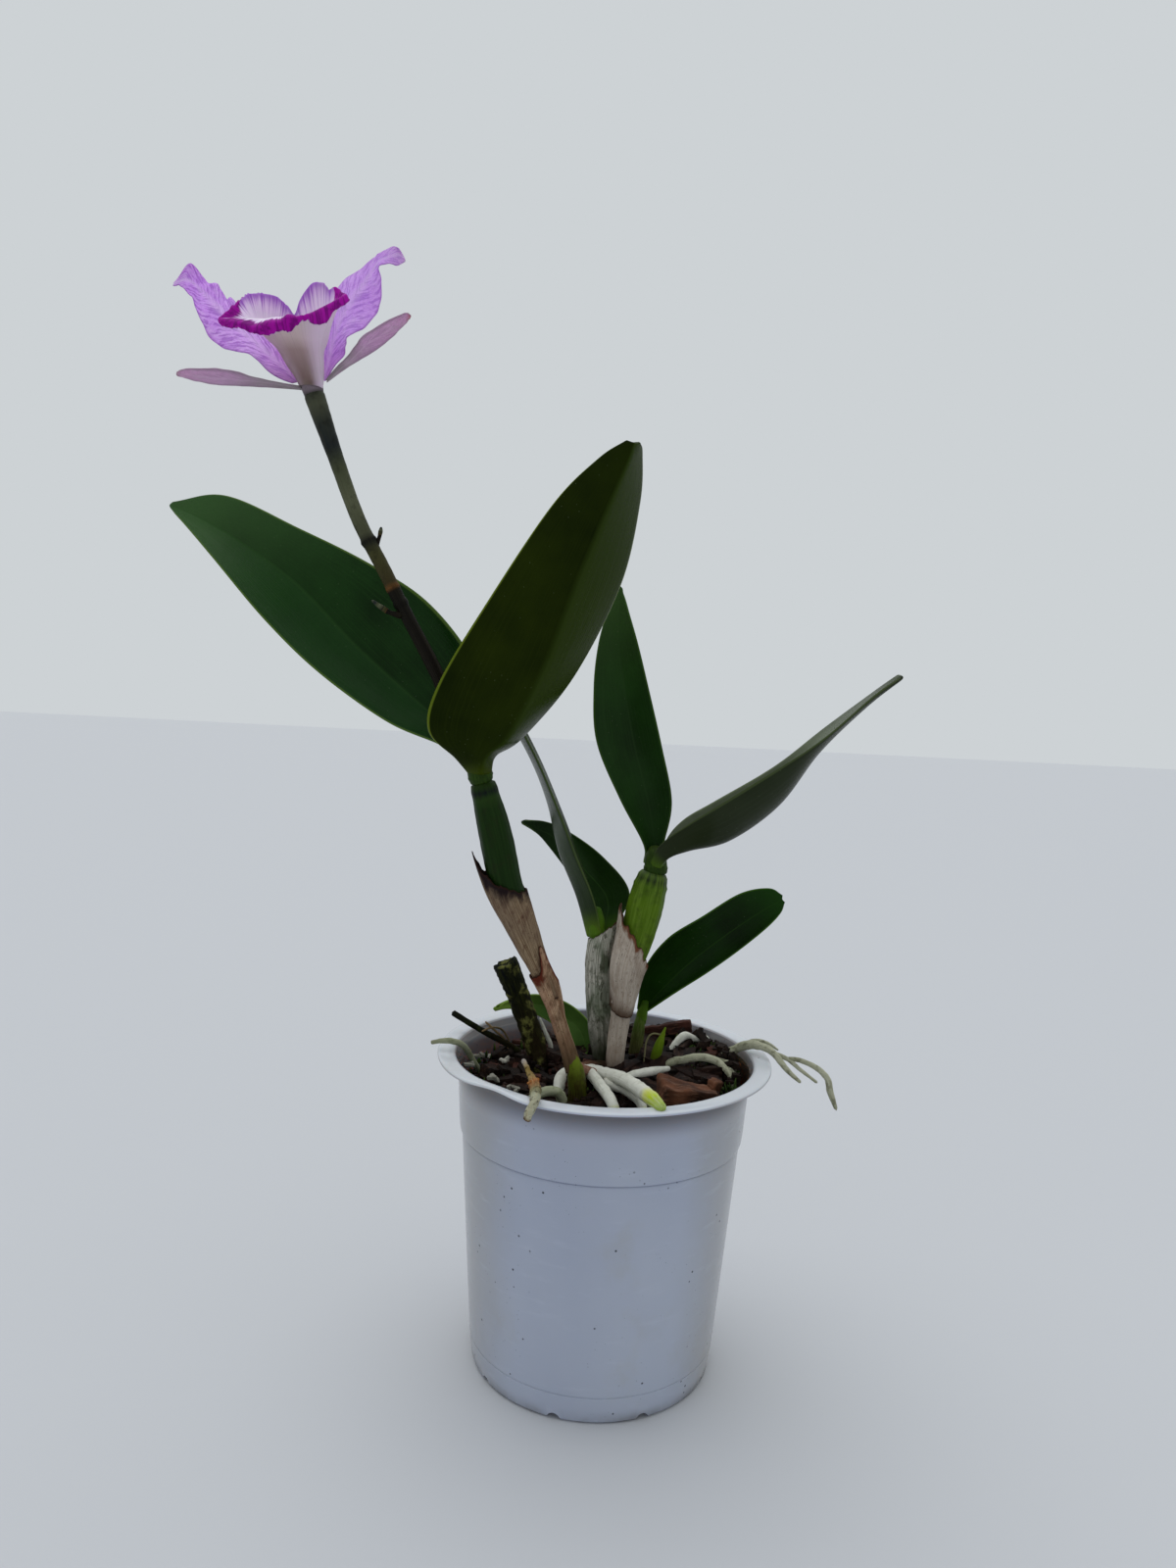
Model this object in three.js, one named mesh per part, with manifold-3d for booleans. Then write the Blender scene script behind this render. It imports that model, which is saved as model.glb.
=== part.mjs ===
// A cattleya orchid in a plastic nursery pot.
// Millimetres, +Z up, origin at the centre of the pot's underside, +Y away from the front.
import * as THREE from 'three';
import { mergeVertices } from 'three/addons/utils/BufferGeometryUtils.js';
import Module from 'manifold-3d';

const wasm = await Module();
wasm.setup();

// ---------------------------------------------------------------- driving dimensions

const POT = {
  height: 112,
  rimRadius: 60,
  openingRadius: 53.6,
  collarHeight: 85,
  collarRadius: 51,
  footRadius: 43,
  floorThickness: 3.8,
  centreDiscRadius: 20,
  channelHeight: 2,
  drainCount: 9,
  drainAngle: 14, // degrees from +X to the first notch and drain hole
  drainRadius: 2.5,
  drainRing: 29,
  drainSides: 8,
  drainDepth: 19, // of the tool that makes the hole, through the floor
  notchWidth: 4.8,
  notchHeight: 2.2,
  notchLength: 10,
  notchInset: 1.5, // its middle, in from the foot's edge
  segments: 36,
};

const BARK = {
  surface: 101.5, // height of the mix at the pot's middle
  slopeX: 0.05, // it lies higher to the right and to the back
  slopeY: 0.05,
  chunks: 32,
  chunkLength: [12, 19],
  chunkWidth: [8, 12],
  chunkHeight: [4, 6.5],
  chunkRise: [0.5, 1.5], // a chunk's middle above the surface
  chunkTilt: [-0.35, 0.35],
  crossTilt: 0.6, // of a chunk's tilt, about its other axis
  cornerKnock: [0.72, 1.08],
  spread: 45,
  wallGap: 0.5,
  headroom: 18, // chunks may stand this far above the pot
  segments: 24,
  roomSegments: 28,
  seed: 7,
};

// Chunks with places of their own: the big reddish one, the small pink one and the strip.
const PLACED_CHUNKS = [
  { size: [22, 16, 11], at: [27, -21, 105], turn: 0.2, tilt: 0.15 },
  { size: [6, 4, 5], at: [38, -17, 107], turn: 0.9, tilt: 0.2 },
  { size: [19, 5, 3], at: [24, 33, 109.5], turn: 0.15, tilt: -0.2 },
];

const CLEARANCE = 0.35; // between neighbouring pieces
const LEAF_THICKNESS = 1.5;
const PETAL_THICKNESS = 0.7;
const SHEATH_THICKNESS = 0.7;
const THINNEST_HALF = 0.31; // half of the thinnest blade anywhere
const MARGIN_THINNING = 0.5; // how much of its thickness a blade loses at its margins
const RIB_DEPTH = 0.06; // of a limb's radius, where it states no other
const LIMB_STEPS = 10;
const NEARLY_ALONG_X = 0.8; // a direction's share of X past which Z starts the frames
const WELD = 1e-4; // vertices closer than this are one

// ---------------------------------------------------------------- materials

const paint = (name, color, roughness) =>
  new THREE.MeshStandardMaterial({ name, color, roughness, metalness: 0 });

const MATERIALS = {
  pot: paint('pot_plastic', 0xa9b1c6, 0.45),
  bark: paint('bark', 0x2e211b, 0.9),
  bulb: paint('pseudobulb_skin', 0x55702a, 0.45),
  stub: paint('old_stem', 0x242418, 0.9),
  sheath: paint('dry_sheath', 0xa39484, 0.8),
  leaf: paint('leaf', 0x1c3d18, 0.4),
  stem: paint('flower_stem', 0x3a3d22, 0.5),
  root: paint('root_velamen', 0xc3c4b2, 0.75),
  rhizome: paint('rhizome', 0xa98c78, 0.7),
  deadRoot: paint('dead_root', 0xb98a50, 0.9),
  petal: paint('petal', 0xb487dc, 0.5),
  sepal: paint('sepal', 0xb38aa8, 0.55),
  lip: paint('lip', 0xa01fa8, 0.5),
  column: paint('column', 0xe6dcec, 0.5),
};

// ---------------------------------------------------------------- curves and solids

const vector = (point) => new THREE.Vector3(...point);

function smoothCurve(points, closed = false) {
  return new THREE.CatmullRomCurve3(points.map(vector), closed, 'catmullrom', 0.5);
}

/** Value at t in 0..1 along an evenly spaced list. */
function along(list, t) {
  const place = t * (list.length - 1);
  const index = Math.min(Math.floor(place), list.length - 2);
  return THREE.MathUtils.lerp(list[index], list[index + 1], place - index);
}

/** A smooth bump of height 1 at the given angle, fading over the given width. */
function bumpAt(angle, centre, width) {
  const away = Math.atan2(Math.sin(angle - centre), Math.cos(angle - centre));
  return Math.exp(-((away / width) ** 2));
}

/** The closed solid of a geometry whose shared vertices are merged here. */
function solidOf(geometry) {
  const bare = geometry.clone();
  bare.deleteAttribute('normal');
  bare.deleteAttribute('uv');
  const merged = mergeVertices(bare, WELD);
  const corners = merged.index.array;
  const kept = [];
  for (let i = 0; i < corners.length; i += 3) {
    const [a, b, c] = corners.slice(i, i + 3);
    if (a !== b && b !== c && c !== a) kept.push(a, b, c);
  }
  const vertProperties = new Float32Array(merged.attributes.position.array);
  const mesh = new wasm.Mesh({ numProp: 3, vertProperties, triVerts: new Uint32Array(kept) });
  const solid = new wasm.Manifold(mesh);
  if (solid.volume() > 0) return solid;
  for (let i = 0; i < kept.length; i += 3) [kept[i], kept[i + 1]] = [kept[i + 1], kept[i]];
  return new wasm.Manifold(
    new wasm.Mesh({ numProp: 3, vertProperties, triVerts: new Uint32Array(kept) }),
  );
}

const join = (solids) => solids.reduce((sum, solid) => sum.add(solid));

/** What is left of a solid beside the given ones, with loose scraps dropped. */
function carve(solid, cutters) {
  const rest = cutters.reduce((left, cutter) => left.subtract(cutter), solid);
  const pieces = rest.decompose();
  return pieces.reduce((best, piece) => (piece.volume() > best.volume() ? piece : best));
}

/**
 * A closed solid from an open sheet. Each vertex carries its half thickness, both faces are
 * split into triangles alike, and every free edge is closed by a strip.
 */
function shellOf(sheet) {
  const bare = sheet.clone();
  bare.deleteAttribute('normal');
  bare.deleteAttribute('uv');
  const skin = mergeVertices(bare, WELD);
  skin.computeVertexNormals();
  const { position, normal, half } = skin.attributes;
  const count = position.count;
  const points = new Float32Array(count * 6);
  for (let i = 0; i < count; i += 1) {
    const at = new THREE.Vector3().fromBufferAttribute(position, i);
    const push = new THREE.Vector3().fromBufferAttribute(normal, i).multiplyScalar(half.getX(i));
    at.clone().add(push).toArray(points, i * 3);
    at.clone().sub(push).toArray(points, (count + i) * 3);
  }
  const front = Array.from(skin.index.array);
  const faces = [...front];
  const free = new Map();
  for (let i = 0; i < front.length; i += 3) {
    const face = front.slice(i, i + 3);
    faces.push(face[0] + count, face[2] + count, face[1] + count);
    face.forEach((start, k) => {
      const end = face[(k + 1) % 3];
      if (!free.delete(`${end} ${start}`)) free.set(`${start} ${end}`, [start, end]);
    });
  }
  for (const [start, end] of free.values()) {
    faces.push(end, start, start + count, end, start + count, end + count);
  }
  const shell = new THREE.BufferGeometry();
  shell.setAttribute('position', new THREE.BufferAttribute(points, 3));
  shell.setIndex(faces);
  return solidOf(shell);
}

/** Points, and two directions square to the curve, at even steps along it. */
function framesAlong(curve, steps) {
  const start = curve.getTangent(0);
  const alongX = Math.abs(start.x) > NEARLY_ALONG_X;
  let side = alongX ? new THREE.Vector3(0, 0, 1) : new THREE.Vector3(1, 0, 0);
  return Array.from({ length: steps + 1 }, (_, i) => {
    const tangent = curve.getTangent(i / steps);
    side = side.clone().addScaledVector(tangent, -side.dot(tangent)).normalize();
    return { at: curve.getPoint(i / steps), side, up: tangent.clone().cross(side) };
  });
}

/** The point at fraction t of a limb's length, at an angle and radius about its spine. */
function limbPoint(frames, t, angle, radius) {
  const place = t * (frames.length - 1);
  const index = Math.min(Math.floor(place), frames.length - 2);
  const { at, side, up } = frames[index];
  const next = frames[index + 1];
  const outward = (frame) =>
    frame.side.clone().multiplyScalar(Math.cos(angle)).addScaledVector(frame.up, Math.sin(angle));
  const here = at.clone().addScaledVector(outward({ side, up }), radius);
  const there = next.at.clone().addScaledVector(outward(next), radius);
  return here.lerp(there, place - index);
}

/**
 * A round tapering limb along a spine: pseudobulb, stem, root or twig.
 * Its radii are given at the spine's points; ribs run along it; grow thickens it all round.
 */
function limb(shape, grow = 0) {
  const { spine, radii, sides = 8, steps = LIMB_STEPS, ribs = 0, ribDepth = RIB_DEPTH } = shape;
  const frames = framesAlong(smoothCurve(spine), steps);
  const tube = new THREE.CylinderGeometry(1, 1, 1, sides, steps);
  const { position } = tube.attributes;
  for (let i = 0; i < position.count; i += 1) {
    const t = position.getY(i) + 0.5;
    const reach = Math.hypot(position.getX(i), position.getZ(i));
    const angle = Math.atan2(position.getZ(i), position.getX(i));
    const rib = ribs ? 1 + ribDepth * Math.cos(ribs * angle) : 1;
    const radius = reach * (along(radii, t) * rib + grow);
    position.setXYZ(i, ...limbPoint(frames, t, angle, radius));
  }
  return solidOf(tube);
}

/**
 * A papery sheath round a limb. It runs from one fraction of the limb's length up to a
 * margin that depends on the angle; gap is its clearance, flare bends its margin outward.
 */
function sleeve({ host, from, margin, gap = 0.45, flare = () => 0, sides = 16, steps = 5 }) {
  const frames = framesAlong(smoothCurve(host.spine), host.steps ?? LIMB_STEPS);
  const sheet = new THREE.CylinderGeometry(1, 1, 1, sides, steps, true);
  const { position } = sheet.attributes;
  const half = new Float32Array(position.count).fill(SHEATH_THICKNESS / 2);
  for (let i = 0; i < position.count; i += 1) {
    const angle = Math.atan2(position.getZ(i), position.getX(i));
    const v = position.getY(i) + 0.5;
    const t = THREE.MathUtils.lerp(from, margin(angle), v);
    const ribHeight = host.ribs ? host.ribDepth ?? RIB_DEPTH : 0;
    const body = along(host.radii, t) * (1 + ribHeight);
    const radius = body + gap + SHEATH_THICKNESS / 2 + flare(angle) * v ** 3;
    position.setXYZ(i, ...limbPoint(frames, t, angle, radius));
  }
  sheet.setAttribute('half', new THREE.BufferAttribute(half, 1));
  return shellOf(sheet);
}

/**
 * A leaf, petal or sepal between its two margins and its midrib. keel 0 gives a round
 * trough, keel 1 a sharp fold at the midrib; wave ruffles both margins.
 */
function blade(shape) {
  const { left, rib, right, thickness, keel = 0.5 } = shape;
  const { wave = 0, waves = 0, across = 4, length = 12 } = shape;
  const rails = [smoothCurve(left), smoothCurve(rib), smoothCurve(right)];
  const sheet = new THREE.PlaneGeometry(2, 1, across, length);
  const { position } = sheet.attributes;
  const half = new Float32Array(position.count);
  for (let i = 0; i < position.count; i += 1) {
    const u = position.getX(i);
    const v = 0.5 - position.getY(i);
    const [a, m, b] = rails.map((rail) => rail.getPoint(v));
    const round = m.clone().addScaledVector(b.clone().sub(a), u / 2);
    round.addScaledVector(a.clone().add(b).multiplyScalar(0.5).sub(m), u * u);
    const folded = m.clone().lerp(u < 0 ? a : b, Math.abs(u));
    const point = round.lerp(folded, keel);
    const facing = b.clone().sub(m).cross(rails[1].getTangent(v)).normalize();
    point.addScaledVector(facing, wave * u * u * Math.sin(v * Math.PI * 2 * waves + u));
    position.setXYZ(i, ...point);
    half[i] = Math.max(THINNEST_HALF, (thickness / 2) * (1 - MARGIN_THINNING * u * u));
  }
  sheet.setAttribute('half', new THREE.BufferAttribute(half, 1));
  return shellOf(sheet);
}

// ---------------------------------------------------------------- the pot

function ring(radius, height) {
  return new THREE.Vector2(radius, height);
}

/** Turned pots stand on +Z; a lathe turns about Y. */
function turned(profile, segments) {
  return solidOf(new THREE.LatheGeometry(profile, segments).rotateX(Math.PI / 2));
}

const POT_INSIDE = [
  ring(POT.openingRadius, POT.height - 0.8),
  ring(51.4, 105.5),
  ring(50.8, 102),
  ring(49.4, POT.collarHeight),
  ring(POT.footRadius - 0.6, POT.floorThickness + 0.8),
  ring(POT.footRadius - 1.8, POT.floorThickness),
];

function makePot() {
  const underside = [
    ring(0, 0),
    ring(POT.centreDiscRadius, 0),
    ring(POT.centreDiscRadius + 2, POT.channelHeight),
    ring(POT.footRadius - 8, POT.channelHeight),
    ring(POT.footRadius - 6, 0),
    ring(POT.footRadius, 0),
    ring(POT.footRadius + 0.8, 0.9),
  ];
  const outside = [
    ring(44.4, 9.5),
    ring(POT.collarRadius - 0.6, POT.collarHeight - 0.6),
    ring(POT.collarRadius, POT.collarHeight + 0.2),
    ring(52.3, 103),
    ring(53.4, 107.4),
    ring(58.4, 108.8),
    ring(POT.rimRadius, 110),
    ring(POT.rimRadius, 111.3),
    ring(POT.rimRadius - 0.8, POT.height),
    ring(POT.openingRadius + 1.4, POT.height),
  ];
  const profile = [...underside, ...outside, ...POT_INSIDE, ring(0, POT.floorThickness)];
  const cuts = [];
  for (let i = 0; i < POT.drainCount; i += 1) {
    const turn = THREE.MathUtils.degToRad(POT.drainAngle + (i * 360) / POT.drainCount);
    const notch = new THREE.BoxGeometry(POT.notchLength, POT.notchWidth, POT.notchHeight * 2);
    notch.translate(POT.footRadius - POT.notchInset, 0, 0).rotateZ(turn);
    const { drainRadius, drainDepth, drainSides } = POT;
    const hole = new THREE.CylinderGeometry(drainRadius, drainRadius, drainDepth, drainSides);
    hole.rotateX(Math.PI / 2).translate(POT.drainRing, 0, 0).rotateZ(turn);
    cuts.push(solidOf(notch), solidOf(hole));
  }
  return carve(turned(profile, POT.segments), cuts);
}

// ---------------------------------------------------------------- stems and bulbs

const BULB_FRONT = {
  spine: [
    [-7.5, -21, 98],
    [-9.5, -21, 108.5],
    [-15.5, -22, 126],
    [-20, -22, 138],
    [-26, -23, 151],
    [-31.5, -24, 163.5],
    [-36.5, -24.5, 175.5],
    [-41, -25, 193],
    [-46.1, -26.1, 210.8],
  ],
  radii: [2.2, 2.2, 1.5, 2, 2.7, 4.4, 5.3, 5.4, 4],
  hole: 4,
  sides: 16,
  steps: 12,
  ribs: 8,
  ribDepth: 0.03,
};

/** The green swelling at the front bulb's foot, below its sheaths. */
const FRONT_FOOT = {
  spine: [
    [-8.5, -22.5, 98],
    [-8.8, -22.5, 105],
    [-9.8, -22.4, 112],
    [-11.7, -22.2, 118],
  ],
  radii: [4.2, 4.1, 3.2, 1],
  hole: 5,
  steps: 5,
};

const BULB_RIGHT = {
  spine: [
    [3.5, 5, 98],
    [4, 5, 104],
    [5, 5, 120.5],
    [6, 5, 130.5],
    [7, 5, 142.5],
    [10, 6, 153.5],
    [12.5, 6.5, 166],
    [15, 6.5, 178.2],
  ],
  radii: [2.4, 2.4, 2.8, 3.5, 5.1, 5.8, 6.3, 5],
  hole: 4.4,
  sides: 16,
  steps: 12,
  ribs: 8,
  ribDepth: 0.05,
};

const BULB_LEFT = {
  spine: [
    [0, 14, 98],
    [0, 14, 103],
    [-1, 13.5, 114.5],
    [-2, 13, 127.5],
    [-2.5, 13, 137.5],
    [-3, 12.5, 146],
    [-4.3, 12.3, 151],
  ],
  radii: [2.6, 2.6, 3.2, 3.8, 4, 3, 2.6],
  hole: 4.7,
  sides: 12,
  steps: 10,
};

const BULB_SMALL = {
  spine: [
    [13, 20, 97],
    [13.5, 20, 110],
    [13.8, 20.8, 119.6],
  ],
  radii: [2, 2, 1.8],
  hole: 2.4,
  steps: 5,
};

const YOUNG_SHOOT = {
  spine: [
    [18.6, 9.5, 98],
    [19, 9, 106],
    [20.2, 8, 112.5],
    [22.2, 7, 119.8],
  ],
  radii: [1.7, 2, 2, 0.5],
  hole: 2.8,
  steps: 7,
};

const OLD_STUB = {
  spine: [
    [-23.5, 14.5, 98],
    [-24.7, 14, 106],
    [-27.6, 13.2, 115],
    [-31, 12.4, 124.5],
    [-34.2, 11.4, 133],
    [-37.8, 10.6, 141.2],
  ],
  radii: [3.7, 3.8, 3.9, 4, 4.2, 4.6],
  hole: 4.7,
  sides: 9,
  steps: 7,
};

const OLD_STALK = {
  spine: [
    [-30, 19, 98],
    [-33, 19, 104.5],
    [-46.5, 16, 112.5],
    [-57.2, 13, 119.6],
  ],
  radii: [1.2, 1.2, 1.1, 1.1],
  hole: 2.2,
  sides: 6,
  steps: 7,
};

const SHEATHS = {
  sheath_front_upper: {
    host: BULB_FRONT,
    from: 0.23,
    margin: (angle) => 0.71 + 0.04 * (1 - Math.cos(angle)) + 0.05 * bumpAt(angle, Math.PI, 0.3),
    flare: (angle) => 2.2 * bumpAt(angle, Math.PI, 0.5),
    steps: 7,
  },
  sheath_front_lower: {
    host: BULB_FRONT,
    from: 0.21,
    gap: 1.6,
    margin: (angle) => 0.3 + 0.23 * bumpAt(angle, -0.9, 0.8),
    sides: 14,
  },
  sheath_right: {
    host: BULB_RIGHT,
    from: 0.15,
    margin: (angle) => 0.6 + 0.09 * (1 - Math.cos(angle)) + 0.05 * bumpAt(angle, Math.PI, 0.4),
    flare: (angle) => 1.2 * bumpAt(angle, Math.PI, 0.6),
    gap: 0.6,
    steps: 7,
  },
  sheath_left: {
    host: BULB_LEFT,
    from: 0.18,
    margin: (angle) => 0.9 + 0.04 * Math.cos(angle),
  },
};

const FLOWER_STEM = {
  spine: [
    [-46.5, -26, 211.4],
    [-54, -26, 227.5],
    [-62.7, -27, 245.5],
    [-72.3, -28, 262.5],
    [-80.3, -28.5, 277],
    [-88.9, -29, 292.5],
    [-96.6, -30, 311.5],
    [-103.6, -31.8, 330.4],
  ],
  radii: [2.2, 2.3, 2.4, 2.3, 2.4, 2.4, 2.6, 3.2],
  sides: 8,
  steps: 12,
};

const STEM_NODES = [
  { spine: [[-84, -28.5, 284], [-85, -28.5, 286]], radii: [3, 3], steps: 1 },
  { spine: [[-75.6, -28, 269.4], [-76.6, -28, 271.4]], radii: [2.9, 2.9], steps: 1 },
];

const STEM_BRACTS = [
  {
    spine: [[-84.5, -28.5, 284], [-82.5, -28.5, 287.5], [-81.8, -28.5, 290]],
    radii: [1.8, 1.2, 0.4],
    sides: 6,
    steps: 3,
  },
  {
    spine: [[-73, -28.5, 263], [-77, -29.5, 264], [-83, -31, 266.5]],
    radii: [1.6, 1.2, 0.5],
    sides: 6,
    steps: 3,
  },
];

/** The stem with its node rings and the two dry bracts that sit on them. */
function makeFlowerStem() {
  return join([FLOWER_STEM, ...STEM_NODES, ...STEM_BRACTS].map((part) => limb(part)));
}

// ---------------------------------------------------------------- rhizome and roots

const RHIZOME = {
  spine: [
    [-8.5, -16, 104.5],
    [-9, -7, 105.5],
    [-6, 3, 105.5],
    [0, 9.5, 104],
    [7, 12, 103.5],
    [13, 15.5, 103],
  ],
  radii: [2.8, 3.2, 3.2, 3.1, 3, 2.4],
  sides: 10,
  steps: 12,
};

// Each root node: a main run and its branches.
const ROOTS = {
  roots_front: [
    {
      spine: [
        [-8, -3, 106.5],
        [-3, -7, 108.5],
        [1.5, -13, 109],
        [7.5, -20, 109],
        [11.5, -33, 110.5],
        [14, -45, 113.5],
        [17, -58, 115],
      ],
      radii: [2, 2.5, 2.6, 2.5, 2.4, 2.4, 1.6],
      steps: 10,
    },
    {
      spine: [
        [0, -12, 107.5],
        [5.5, -18, 106],
        [11.5, -24, 104.5],
      ],
      radii: [1.8, 1.7, 1.6],
      steps: 5,
    },
    {
      spine: [
        [-6, -5, 106.5],
        [-2, -13, 107.3],
        [1.5, -22, 106],
        [4, -32, 102],
      ],
      radii: [1.9, 1.8, 1.7, 1.5],
      steps: 7,
    },
  ],
  root_middle: [
    {
      spine: [
        [10, -9, 104],
        [12, -9, 106.5],
        [16, -6.5, 108],
        [23, -2.5, 107.5],
      ],
      radii: [1.7, 1.8, 1.9, 1.3],
      steps: 7,
    },
  ],
  root_front_left: [
    {
      spine: [
        [-14, 0, 105],
        [-14.5, -5, 107],
        [-16, -12, 105.5],
        [-17, -19, 101],
      ],
      radii: [1.7, 1.9, 2.1, 1.7],
      steps: 6,
    },
  ],
  root_old_grey: [
    {
      spine: [
        [-14, -30, 102],
        [-16, -32.5, 106.5],
        [-19, -36, 108],
        [-24, -38, 106],
        [-27, -39, 102],
      ],
      radii: [2, 2.3, 2.3, 2.1, 1.8],
      steps: 8,
    },
  ],
  root_dead: [
    {
      spine: [
        [-28, -20, 111],
        [-25.5, -25, 113],
        [-23.5, -35, 113.5],
        [-22, -46, 114.6],
        [-21.5, -56, 115],
        [-22, -62.5, 113.5],
        [-23.5, -63, 109],
      ],
      radii: [0.6, 1.2, 1.9, 1.5, 1.2, 1.4, 0.8],
      sides: 7,
      steps: 12,
    },
  ],
  root_rim_left: [
    {
      spine: [
        [-62, -6.5, 114],
        [-58, -7.5, 115.2],
        [-54, -7.5, 115.2],
        [-50.5, -4, 112.5],
        [-48, 2, 106],
        [-45, 5, 100],
      ],
      radii: [0.9, 1.3, 1.4, 1.5, 1.5, 1.4],
      steps: 10,
    },
  ],
  root_right: [
    {
      spine: [
        [22, 2, 104],
        [24, 3.5, 107],
        [30, 5, 109],
        [36, 6.5, 109.5],
        [40.5, 4.5, 109],
        [43.5, -3, 108],
        [45.5, -10, 104],
      ],
      radii: [1.6, 1.6, 1.8, 1.8, 1.8, 1.5, 1.1],
      steps: 10,
    },
    {
      spine: [
        [39, 5.3, 109],
        [44.5, 3, 109],
        [48, 0.5, 106],
      ],
      radii: [1.3, 1.3, 1],
      sides: 7,
      steps: 4,
    },
    {
      spine: [
        [43, -1.5, 108.3],
        [46, -3.5, 107],
        [48, -7, 104],
      ],
      radii: [1.2, 1.2, 1],
      sides: 7,
      steps: 4,
    },
  ],
  root_rim_right: [
    {
      spine: [
        [40.5, 9, 104],
        [44.5, 8.5, 109.5],
        [49, 8.5, 112.5],
        [53, 6, 115],
        [57, 3, 115.6],
        [60.5, -0.5, 114.8],
        [63.5, -4, 112],
        [66, -6, 109.5],
        [70, -8, 106.5],
      ],
      radii: [1.6, 1.9, 2, 2, 1.9, 1.7, 1.4, 1.1, 0.8],
      steps: 13,
    },
    {
      spine: [
        [61, -0.5, 114.3],
        [66, -0.5, 112.5],
        [71, -1.5, 109],
        [77, -3, 105],
      ],
      radii: [1.2, 1.1, 0.9, 0.6],
      sides: 6,
      steps: 5,
    },
    {
      spine: [
        [66, -0.5, 112.5],
        [71, 0, 112],
        [77, 0, 109.5],
        [81, 0, 106],
        [82.5, 0, 101],
        [85, -1, 94.5],
      ],
      radii: [1, 1, 1, 0.9, 0.8, 0.5],
      sides: 6,
      steps: 6,
    },
    {
      spine: [
        [51.5, 8, 114],
        [55.5, 8, 116],
        [60, 7, 115.6],
        [64, 6, 113.4],
      ],
      radii: [1, 1, 0.8, 0.5],
      sides: 6,
      steps: 5,
    },
  ],
  root_back_right: [
    {
      spine: [
        [24, 19, 101],
        [26.5, 22, 107],
        [31, 25.5, 111],
        [35.5, 26.5, 109.8],
        [39.5, 26.5, 109.8],
        [42, 26, 105],
      ],
      radii: [1.7, 1.8, 2, 1.8, 1.9, 1.6],
      steps: 9,
    },
  ],
  root_behind: [
    {
      spine: [
        [-19.4, 20, 98],
        [-19.8, 19.7, 105.5],
        [-21.6, 19, 110.5],
        [-24.6, 18.4, 117.5],
      ],
      radii: [1.2, 1.2, 1.1, 0.8],
      sides: 7,
      steps: 6,
    },
  ],
};

// ---------------------------------------------------------------- bark mix

/** Repeatable pseudo-random numbers in 0..1 (mulberry32). */
function randomFrom(seed) {
  let state = seed;
  return () => {
    state = (state + 0x6d2b79f5) | 0;
    let mixed = Math.imul(state ^ (state >>> 15), 1 | state);
    mixed = (mixed + Math.imul(mixed ^ (mixed >>> 7), 61 | mixed)) ^ mixed;
    return ((mixed ^ (mixed >>> 14)) >>> 0) / 4294967296;
  };
}

const between = (random, [low, high]) => low + (high - low) * random();

const barkHeight = (x, y) => BARK.surface + BARK.slopeX * x + BARK.slopeY * y;

/** One broken piece of bark: a box with its corners knocked about. */
function barkChunk({ size, at, turn, tilt }, random) {
  const box = new THREE.BoxGeometry(...size);
  box.deleteAttribute('normal');
  box.deleteAttribute('uv');
  const chunk = mergeVertices(box);
  const { position } = chunk.attributes;
  for (let i = 0; i < position.count; i += 1) {
    const corner = new THREE.Vector3().fromBufferAttribute(position, i).toArray();
    position.setXYZ(i, ...corner.map((value) => value * between(random, BARK.cornerKnock)));
  }
  chunk.rotateY(tilt).rotateX(tilt * BARK.crossTilt).rotateZ(turn).translate(...at);
  return solidOf(chunk);
}

/** Chunks spread evenly over the mix, each of its own size and lie. */
function scatteredChunks(random) {
  const goldenAngle = Math.PI * (3 - Math.sqrt(5));
  return Array.from({ length: BARK.chunks }, (_, i) => {
    const radius = BARK.spread * Math.sqrt((i + 0.5) / BARK.chunks);
    const x = radius * Math.cos(i * goldenAngle);
    const y = radius * Math.sin(i * goldenAngle);
    const ranges = [BARK.chunkLength, BARK.chunkWidth, BARK.chunkHeight];
    const size = ranges.map((range) => between(random, range));
    const at = [x, y, barkHeight(x, y) + between(random, BARK.chunkRise)];
    const turn = random() * Math.PI;
    const tilt = between(random, BARK.chunkTilt);
    return barkChunk({ size, at, turn, tilt }, random);
  });
}

/** The filled pot's mix: a body up to its surface, with chunks of bark standing out of it. */
function makeBarkMix(cutters) {
  const random = randomFrom(BARK.seed);
  const top = POT.height + BARK.headroom;
  const room = [
    ring(0, top),
    ring(POT.openingRadius - BARK.wallGap, top),
    ...POT_INSIDE.map(({ x, y }) => ring(x - BARK.wallGap, y + BARK.wallGap)),
    ring(0, POT.floorThickness + BARK.wallGap),
  ];
  const body = [
    ring(0, BARK.surface),
    ring(POT.rimRadius, BARK.surface),
    ring(POT.rimRadius, 0),
    ring(0, 0),
  ];
  const fill = new THREE.LatheGeometry(body, BARK.segments).rotateX(Math.PI / 2);
  const { position } = fill.attributes;
  for (let i = 0; i < position.count; i += 1) {
    const onTop = position.getZ(i) > BARK.surface / 2;
    if (onTop) position.setZ(i, barkHeight(position.getX(i), position.getY(i)));
  }
  const chunks = scatteredChunks(random);
  const placed = PLACED_CHUNKS.map((chunk) => barkChunk(chunk, random));
  const whole = join([solidOf(fill), ...chunks, ...placed]);
  return carve(whole.intersect(turned(room, BARK.roomSegments)), cutters);
}

// ---------------------------------------------------------------- leaves

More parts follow.
